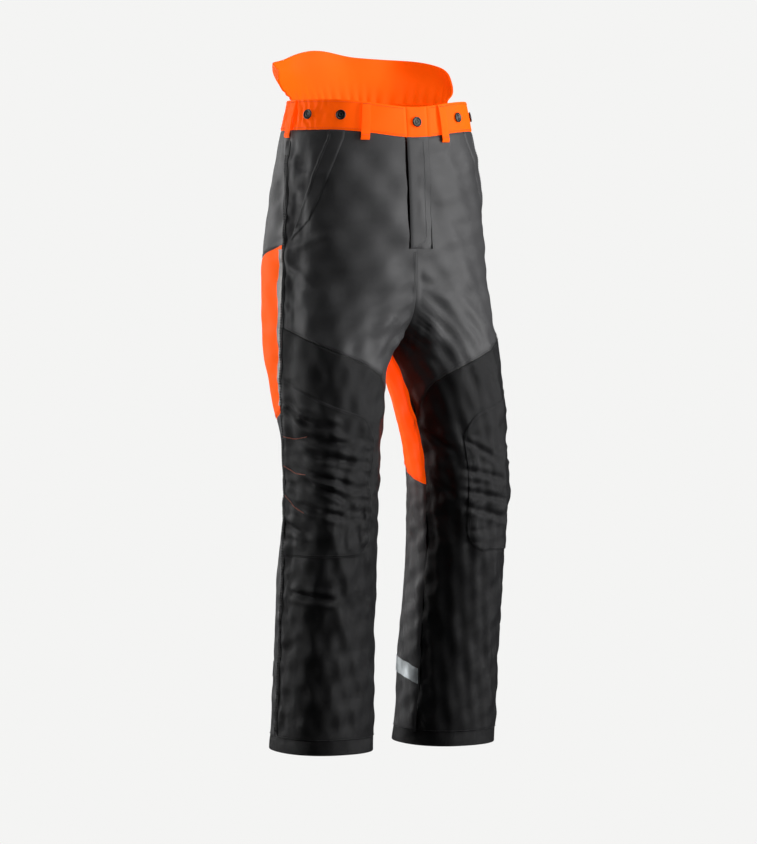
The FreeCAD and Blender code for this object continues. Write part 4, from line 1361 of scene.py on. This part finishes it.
def make_padding():
    """Layered saw protection inside the fronts, one length per leg."""
    edges = (fixed(INSERT_OUTER), lambda z: np.minimum(front_edge(z) - 2.0, INSERT_INNER),
             fixed(INSERT_Z[0]), fixed(INSERT_Z[1]))
    for side in SIDES:
        obj, _ = panel(f"saw_protection_{side}", side, edges, SAW_PROTECTION, -INSERT_DEPTH,
                       COARSE_CELL)
        own_side(obj, side)
        named = [f"insert_{part}_{side}" for part in ("thigh", "knee", "shin")]
        sew(obj, INSERT_THICKNESS, ("hips", f"shin_{side}"), "saw_protection", *named)


# ---------------------------------------------------------------- sewing
STITCH_SHAPE = (
    (-0.5, 0.0, -0.3), (-0.3, 0.5, 0.0), (-0.3, 0.0, 0.9), (-0.3, -0.5, 0.0), (0.3, 0.5, 0.0),
    (0.3, 0.0, 0.9), (0.3, -0.5, 0.0), (0.5, 0.0, -0.3),
)
STITCH_FACES = (
    (0, 1, 2), (0, 2, 3), (1, 4, 5, 2), (2, 5, 6, 3), (7, 5, 4), (7, 6, 5), (0, 3, 1), (3, 6, 4, 1),
    (7, 4, 6),
)


def stitch_row(points, normals, pitch, length, width):
    """Stitches along a line of surface points, as vertex positions."""
    steps = np.linalg.norm(np.diff(points, axis=0), axis=1)
    run = np.concatenate([[0], np.cumsum(steps)])
    places = np.arange(pitch / 2, run[-1], pitch)

    def between(values, shift=0.0):
        return np.stack([np.interp(places + shift, run, values[:, i]) for i in range(3)], axis=1)

    centre, normal = between(points), between(normals)
    along = between(points, length / 2) - between(points, -length / 2)
    along /= np.maximum(np.linalg.norm(along, axis=1, keepdims=True), 1e-9)
    normal /= np.linalg.norm(normal, axis=1, keepdims=True)
    across = np.cross(normal, along)
    shape = np.array(STITCH_SHAPE)
    return (centre[:, None] + along[:, None] * shape[None, :, :1] * length
            + across[:, None] * shape[None, :, 1:2] * width
            + normal[:, None] * shape[None, :, 2:] * width)


def stitch_object(name, rows, material, body, material_slot):
    points = np.concatenate(rows).reshape(-1, 3)
    starts = range(0, len(points), len(STITCH_SHAPE))
    faces = [tuple(start + i for i in face) for start in starts for face in STITCH_FACES]
    obj = mesh_object(name, points, faces)
    obj.data.materials.append(material)
    return place(obj, body, material_slot)


def surface_line(side, angle, height, lift=0.0003):
    points = cloth(side, angle, height, lift)
    normals = outward(angle, height)
    normals[..., 0] *= SIDES[side]
    return points, normals


def level_line(side, stations, shift, start, end, lift=0.0002):
    """Line round the leg that follows a seam at a distance."""
    angle = np.linspace(start, end, 160)
    return surface_line(side, angle, smooth(stations, angle) + shift, lift)


def upright_line(side, edge, shift, top, bottom, lift=0.0002):
    """Line down the leg beside an edge; the shift is a length of cloth."""
    height = np.linspace(top, bottom, 260)
    angle = edge(height) + np.degrees(shift / LEG_RADIUS)
    return surface_line(side, angle, height, lift)


# Pitch, length and width of the stitches of a row.
FINE_STITCH = (0.0031, 0.0024, 0.00065)
COARSE_STITCH = (0.0044, 0.0036, 0.00125)
TACK_STITCH = (0.0011, 0.0020, 0.0007)
DART_STITCH = (0.0027, 0.0025, 0.0014)


def stitch_rows(line, shifts, size=FINE_STITCH):
    """Rows of stitches beside each other, each at its own distance from a seam."""
    return [stitch_row(*line(shift), *size) for shift in shifts]


def knee_line(side, shift):
    """Line round the knee patch: its top, its inner edge and its bottom."""
    inner = KNEE_INNER_ANGLE - math.degrees(shift / LEG_RADIUS)
    across = mix(SIDE_SEAM, inner, np.sin(np.linspace(0, math.pi / 2, 120)))
    upright = np.linspace(knee_top(np.array(inner)) - shift, knee_bottom(np.array(inner)) + shift, 120)
    angle = np.concatenate([across, np.full(120, inner), across[::-1]])
    height = np.concatenate([knee_top(across) - shift, upright, knee_bottom(across[::-1]) + shift])
    return surface_line(side, angle, height, KNEE_LIFT + 0.0001)


def make_leg_stitches(side):
    """Topstitching of one leg."""
    front = (SIDE_SEAM + 4.0, 86.0)
    rows = stitch_rows(lambda d: level_line(side, GREY_SEAM, d, *front), (0.0022, 0.0052, -0.0028))
    rows += stitch_rows(lambda d: knee_line(side, d), (0.0028, 0.0058))
    hem = ((-270.0, HEM_TOP_Z), (90.0, HEM_TOP_Z))
    rows += stitch_rows(lambda d: level_line(side, hem, d, -268.0, 88.0), (0.0026,))
    bodies = ("hips", f"shin_{side}")
    stitch_object(f"topstitching_{side}", rows, DARK_THREAD, bodies, "black_fabric")
    pair = (0.0026, 0.0056)
    inner = stitch_rows(lambda d: upright_line(side, back_edge, d, CROTCH_Z, -0.62), pair)
    back = (SIDE_SEAM - 6.0, -272.0)
    inner += stitch_rows(lambda d: level_line(side, ORANGE_SEAM, d, *back), pair)
    stitch_object(f"orange_topstitching_{side}", inner, ORANGE_THREAD, bodies, "orange_fabric")
    chain = stitch_rows(lambda d: upright_line(side, side_line, d, -0.085, -1.04, 0.0014),
                        (-0.0030, 0.0030), COARSE_STITCH)
    stitch_object(f"side_chain_stitch_{side}", chain, BLACK_THREAD, bodies, "black_fabric")


SIDE_FOLD_REACH = 0.0052        # width of the fold on each side of its middle
SIDE_FOLD_LIFT = 0.0010
SIDE_FOLD_CLOTH = 0.0012
SIDE_FOLD_CELL = 0.0028
SIDE_FOLD_Z = (-0.062, -1.047)


def make_side_seam(side):
    """Felled side seam: a raised double fold from the band to the hem."""
    width = math.degrees(SIDE_FOLD_REACH / LEG_RADIUS)
    edges = (beside_side_seam(-width), beside_side_seam(width), fixed(SIDE_FOLD_Z[0]), fixed(SIDE_FOLD_Z[1]))
    obj, plain = panel(f"side_seam_fold_{side}", side, edges, BLACK, SIDE_FOLD_LIFT, SIDE_FOLD_CELL, 0.0)
    sew(obj, SIDE_FOLD_CLOTH, ("hips", f"shin_{side}"), "black_fabric")


DARTS = ((-0.546, -0.545), (-0.594, -0.607), (-0.642, -0.669))
DART_LENGTH = 0.056


def make_darts(side):
    """Three short curved lines of bright stitching that gather the knee at the side."""
    rows = []
    for start, end in DARTS:
        share = np.linspace(0, 1, 40)
        height = mix(start, end, share) - 0.004 * np.sin(math.pi * share)
        angle = side_line(height) + np.degrees((0.006 + DART_LENGTH * share) / LEG_RADIUS)
        rows.append(stitch_row(*surface_line(side, angle, height, KNEE_LIFT + 0.0004), *DART_STITCH))
    stitch_object(f"dart_stitching_{side}", rows, PINK_THREAD, ("hips", f"shin_{side}"), "orange_fabric")


BAND_STITCH_LIFT = 0.0002


def band_line(angle, drop):
    """Points of a line of stitches this far under the band's top, and the way they face."""
    height = band_top(angle) - drop
    return band_points(angle, height, BAND_STITCH_LIFT), outward(angle, height)


def make_waist_stitches():
    """Rows along both edges of the band, and the bar tacks of the belt loops."""
    spans = ((SIDE_SEAM + 1, -5.0), (13.0, -SIDE_SEAM - 1), (SIDE_SEAM - 1, SIDE_SEAM - 191))
    rows = []
    for drop in (0.0035, BAND_HEIGHT - 0.0035):
        for start, end in spans:
            rows.append(stitch_row(*band_line(np.linspace(start, end, 200), drop), *FINE_STITCH))
    for angle in BELT_LOOPS.values():
        for drop in (0.004, 0.056):
            rows += bar_tack(angle, drop)
    stitch_object("waist_stitching", rows, ORANGE_THREAD, "hips", "orange_fabric")


def bar_tack(angle, drop):
    """Dense short row of stitches across a belt loop's end."""
    height, lift = strap_line(angle)
    index = int(drop / LOOP_DROP * LOOP_ROWS)
    foot, normal, level = strap_frame(angle, height[index])
    across = np.linspace(-0.0062, 0.0062, 12)
    points = foot + normal * (lift[index] + 0.0006) + level * across[:, None]
    return [stitch_row(points, np.tile(normal, (12, 1)), *TACK_STITCH)]


def make_fly_stitches():
    """J-shaped row that holds the fly's facing, on the flap."""
    foot = FLY_BOTTOM_Z + 0.022
    turn = np.linspace(0, math.pi / 2, 40)
    x = np.concatenate([np.full(120, FLY_STITCH_X), FLY_STITCH_X - 0.024 * (1 - np.cos(turn))])
    height = np.concatenate([np.linspace(-0.062, foot, 120), foot - 0.018 * np.sin(turn)])
    angle = angle_at_x(x, height)
    points = skin(angle, height) + outward(angle, height) * 0.0002 + fly_folds(angle, height)
    row = stitch_row(points, outward(angle, height), *FINE_STITCH)
    stitch_object("fly_stitching", [row], GREY_THREAD, "fly_flap", "grey_fabric")


FRONT_STITCH_SHIFTS = (0.0024, 0.0054)


def make_front_stitches():
    """Double rows down the seam under the fly and along the pocket mouths, and the seat seams."""
    rows = []
    z = np.linspace(FLY_BOTTOM_Z - 0.004, -0.372, 90)
    for shift in FRONT_STITCH_SHIFTS:
        centre = angle_at_x(np.full(90, -shift), z)
        rows.append(stitch_row(*surface_line("right", centre, z), *FINE_STITCH))
    z = np.linspace(-0.052, -0.206, 120)
    for side in SIDES:
        for shift in FRONT_STITCH_SHIFTS:
            across = mouth_angle(z) + math.degrees(shift / HIP_RADIUS)
            rows.append(stitch_row(*surface_line(side, across, z, 0.0016), *FINE_STITCH))
        seat = level_line(side, SEAT_SEAM, 0.003, SIDE_SEAM - 6, -262)
        rows.append(stitch_row(*seat, *FINE_STITCH))
    stitch_object("front_stitching", rows, GREY_THREAD, "hips", "grey_fabric")


def make_pocket_stitches():
    """Row round the back pocket, and row along its flap's lower edge."""
    outer, inner = BACK_POCKET_ANGLES
    top_z, bottom_z = BACK_POCKET_Z
    inset = 1.3
    path = ((outer - inset, top_z - 0.003), (outer - inset, bottom_z + 0.003),
            (inner + inset, bottom_z + 0.003), (inner + inset, top_z - 0.003))
    angle = np.concatenate([np.linspace(a[0], b[0], 60) for a, b in zip(path, path[1:])])
    height = np.concatenate([np.linspace(a[1], b[1], 60) for a, b in zip(path, path[1:])])
    row = stitch_row(*surface_line("right", angle, height, POCKET_LIFT + 0.0003), *FINE_STITCH)
    stitch_object("back_pocket_stitching", [row], GREY_THREAD, "hips", "grey_fabric")
    height = np.full(60, top_z - FLAP_DROP + 0.0035)
    angle = np.linspace(outer - 0.6, inner + 0.6, 60)
    row = stitch_row(*surface_line("right", angle, height, FLAP_LIFT + 0.0003), *FINE_STITCH)
    stitch_object("pocket_flap_stitching", [row], GREY_THREAD, "back_pocket_flap", "grey_fabric")


# ---------------------------------------------------------------- CAD nodes that stay
def dress_cad_nodes():
    """Give the zip and the button tacks, which stay as CAD made them, their materials."""
    looks = {
        "zip_tapes": ZIP_TAPE,
        "zip_teeth": BRASS,
        "zip_stops": BRASS,
        "zip_slider": BRASS,
        "zip_puller": BRASS,
        "button_tacks": STEEL,
    }
    for node, material in looks.items():
        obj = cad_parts[node]
        if not obj.material_slots:
            obj.data.materials.append(material)
        for material_slot in obj.material_slots:
            material_slot.material = material


# ---------------------------------------------------------------- studio
VIEW_DISTANCE = 6.4
VIEW_HEIGHT = -0.21
VIEW_TARGET = (0.0022, -0.0012, -0.5314)
VIEW_AZIMUTH = -30.0
LENS_MM = 162.5
FLOOR_Z = -1.12
FLOOR_REACH = 4.0


def look_at(obj, target):
    direction = Vector(target) - obj.location
    obj.rotation_euler = direction.to_track_quat("-Z", "Y").to_euler()


def make_camera():
    data = bpy.data.cameras.new("camera")
    data.lens = LENS_MM
    camera = link(bpy.data.objects.new("camera", data))
    turn = math.radians(VIEW_AZIMUTH)
    camera.location = (math.sin(turn) * VIEW_DISTANCE, -math.cos(turn) * VIEW_DISTANCE, VIEW_HEIGHT)
    look_at(camera, VIEW_TARGET)
    bpy.context.scene.camera = camera


def make_light(name, place_at, size, power):
    """Soft box that lights the object but isn't seen itself."""
    data = bpy.data.lights.new(name, "AREA")
    data.shape = "RECTANGLE"
    data.size, data.size_y = size
    data.energy = power
    light = link(bpy.data.objects.new(name, data))
    light.location = place_at
    light.visible_camera = False
    look_at(light, VIEW_TARGET)


def make_stage():
    """Pale floor and surroundings of one even tone, which add no light of their own."""
    pale = linear(244, 244, 243)
    nodes = Nodes("studio floor")
    nodes.set("Base Color", (0, 0, 0, 1))
    nodes.set("Emission Color", pale)
    nodes.set("Emission Strength", 1.0)
    nodes.set("Specular IOR Level", 0.0)
    turns = ((-1, -1), (1, -1), (1, 1), (-1, 1))
    corners = [(x * FLOOR_REACH, y * FLOOR_REACH, FLOOR_Z) for x, y in turns]
    floor = mesh_object("floor", corners, [(0, 1, 2, 3)])
    floor.data.materials.append(nodes.material)
    floor.visible_diffuse = False
    floor.visible_glossy = False
    floor.visible_shadow = False
    world = bpy.data.worlds.new("studio")
    world.use_nodes = True
    world.node_tree.nodes["Background"].inputs[0].default_value = pale
    world.node_tree.nodes["Background"].inputs[1].default_value = 1.0
    world.cycles_visibility.diffuse = False
    world.cycles_visibility.glossy = False
    scene = bpy.context.scene
    scene.world = world
    scene.view_settings.view_transform = "Standard"


# Soft boxes: place, size and power.
LIGHTS = {
    "key": ((2.5, -2.15, 0.2), (1.5, 2.4), 178),
    "rim": ((-1.95, 1.35, -0.3), (0.5, 2.4), 42),
    "front_fill": ((0.0, -3.9, 0.3), (2.4, 2.4), 32),
    "back_left": ((-1.2, 3.2, 0.3), (1.8, 2.2), 45),
    "back_right": ((1.6, 3.0, 0.2), (1.2, 2.2), 45),
    "top": ((0.3, -0.8, 2.3), (1.6, 1.2), 26),
}


def make_lights():
    """Every soft box of the studio."""
    for name, (place_at, size, power) in LIGHTS.items():
        make_light(name, place_at, size, power)


def main():
    make_camera()
    make_shell()
    make_knee_panels()
    make_front_panels()
    make_fly()
    make_hems()
    make_waistband()
    make_high_back()
    make_buttons()
    make_belt_loops()
    make_slash_pockets()
    make_back_pocket()
    make_trim()
    make_padding()
    for side in SIDES:
        make_leg_stitches(side)
        make_side_seam(side)
        make_darts(side)
    make_waist_stitches()
    make_fly_stitches()
    make_front_stitches()
    make_pocket_stitches()
    dress_cad_nodes()
    make_stage()
    make_lights()


main()
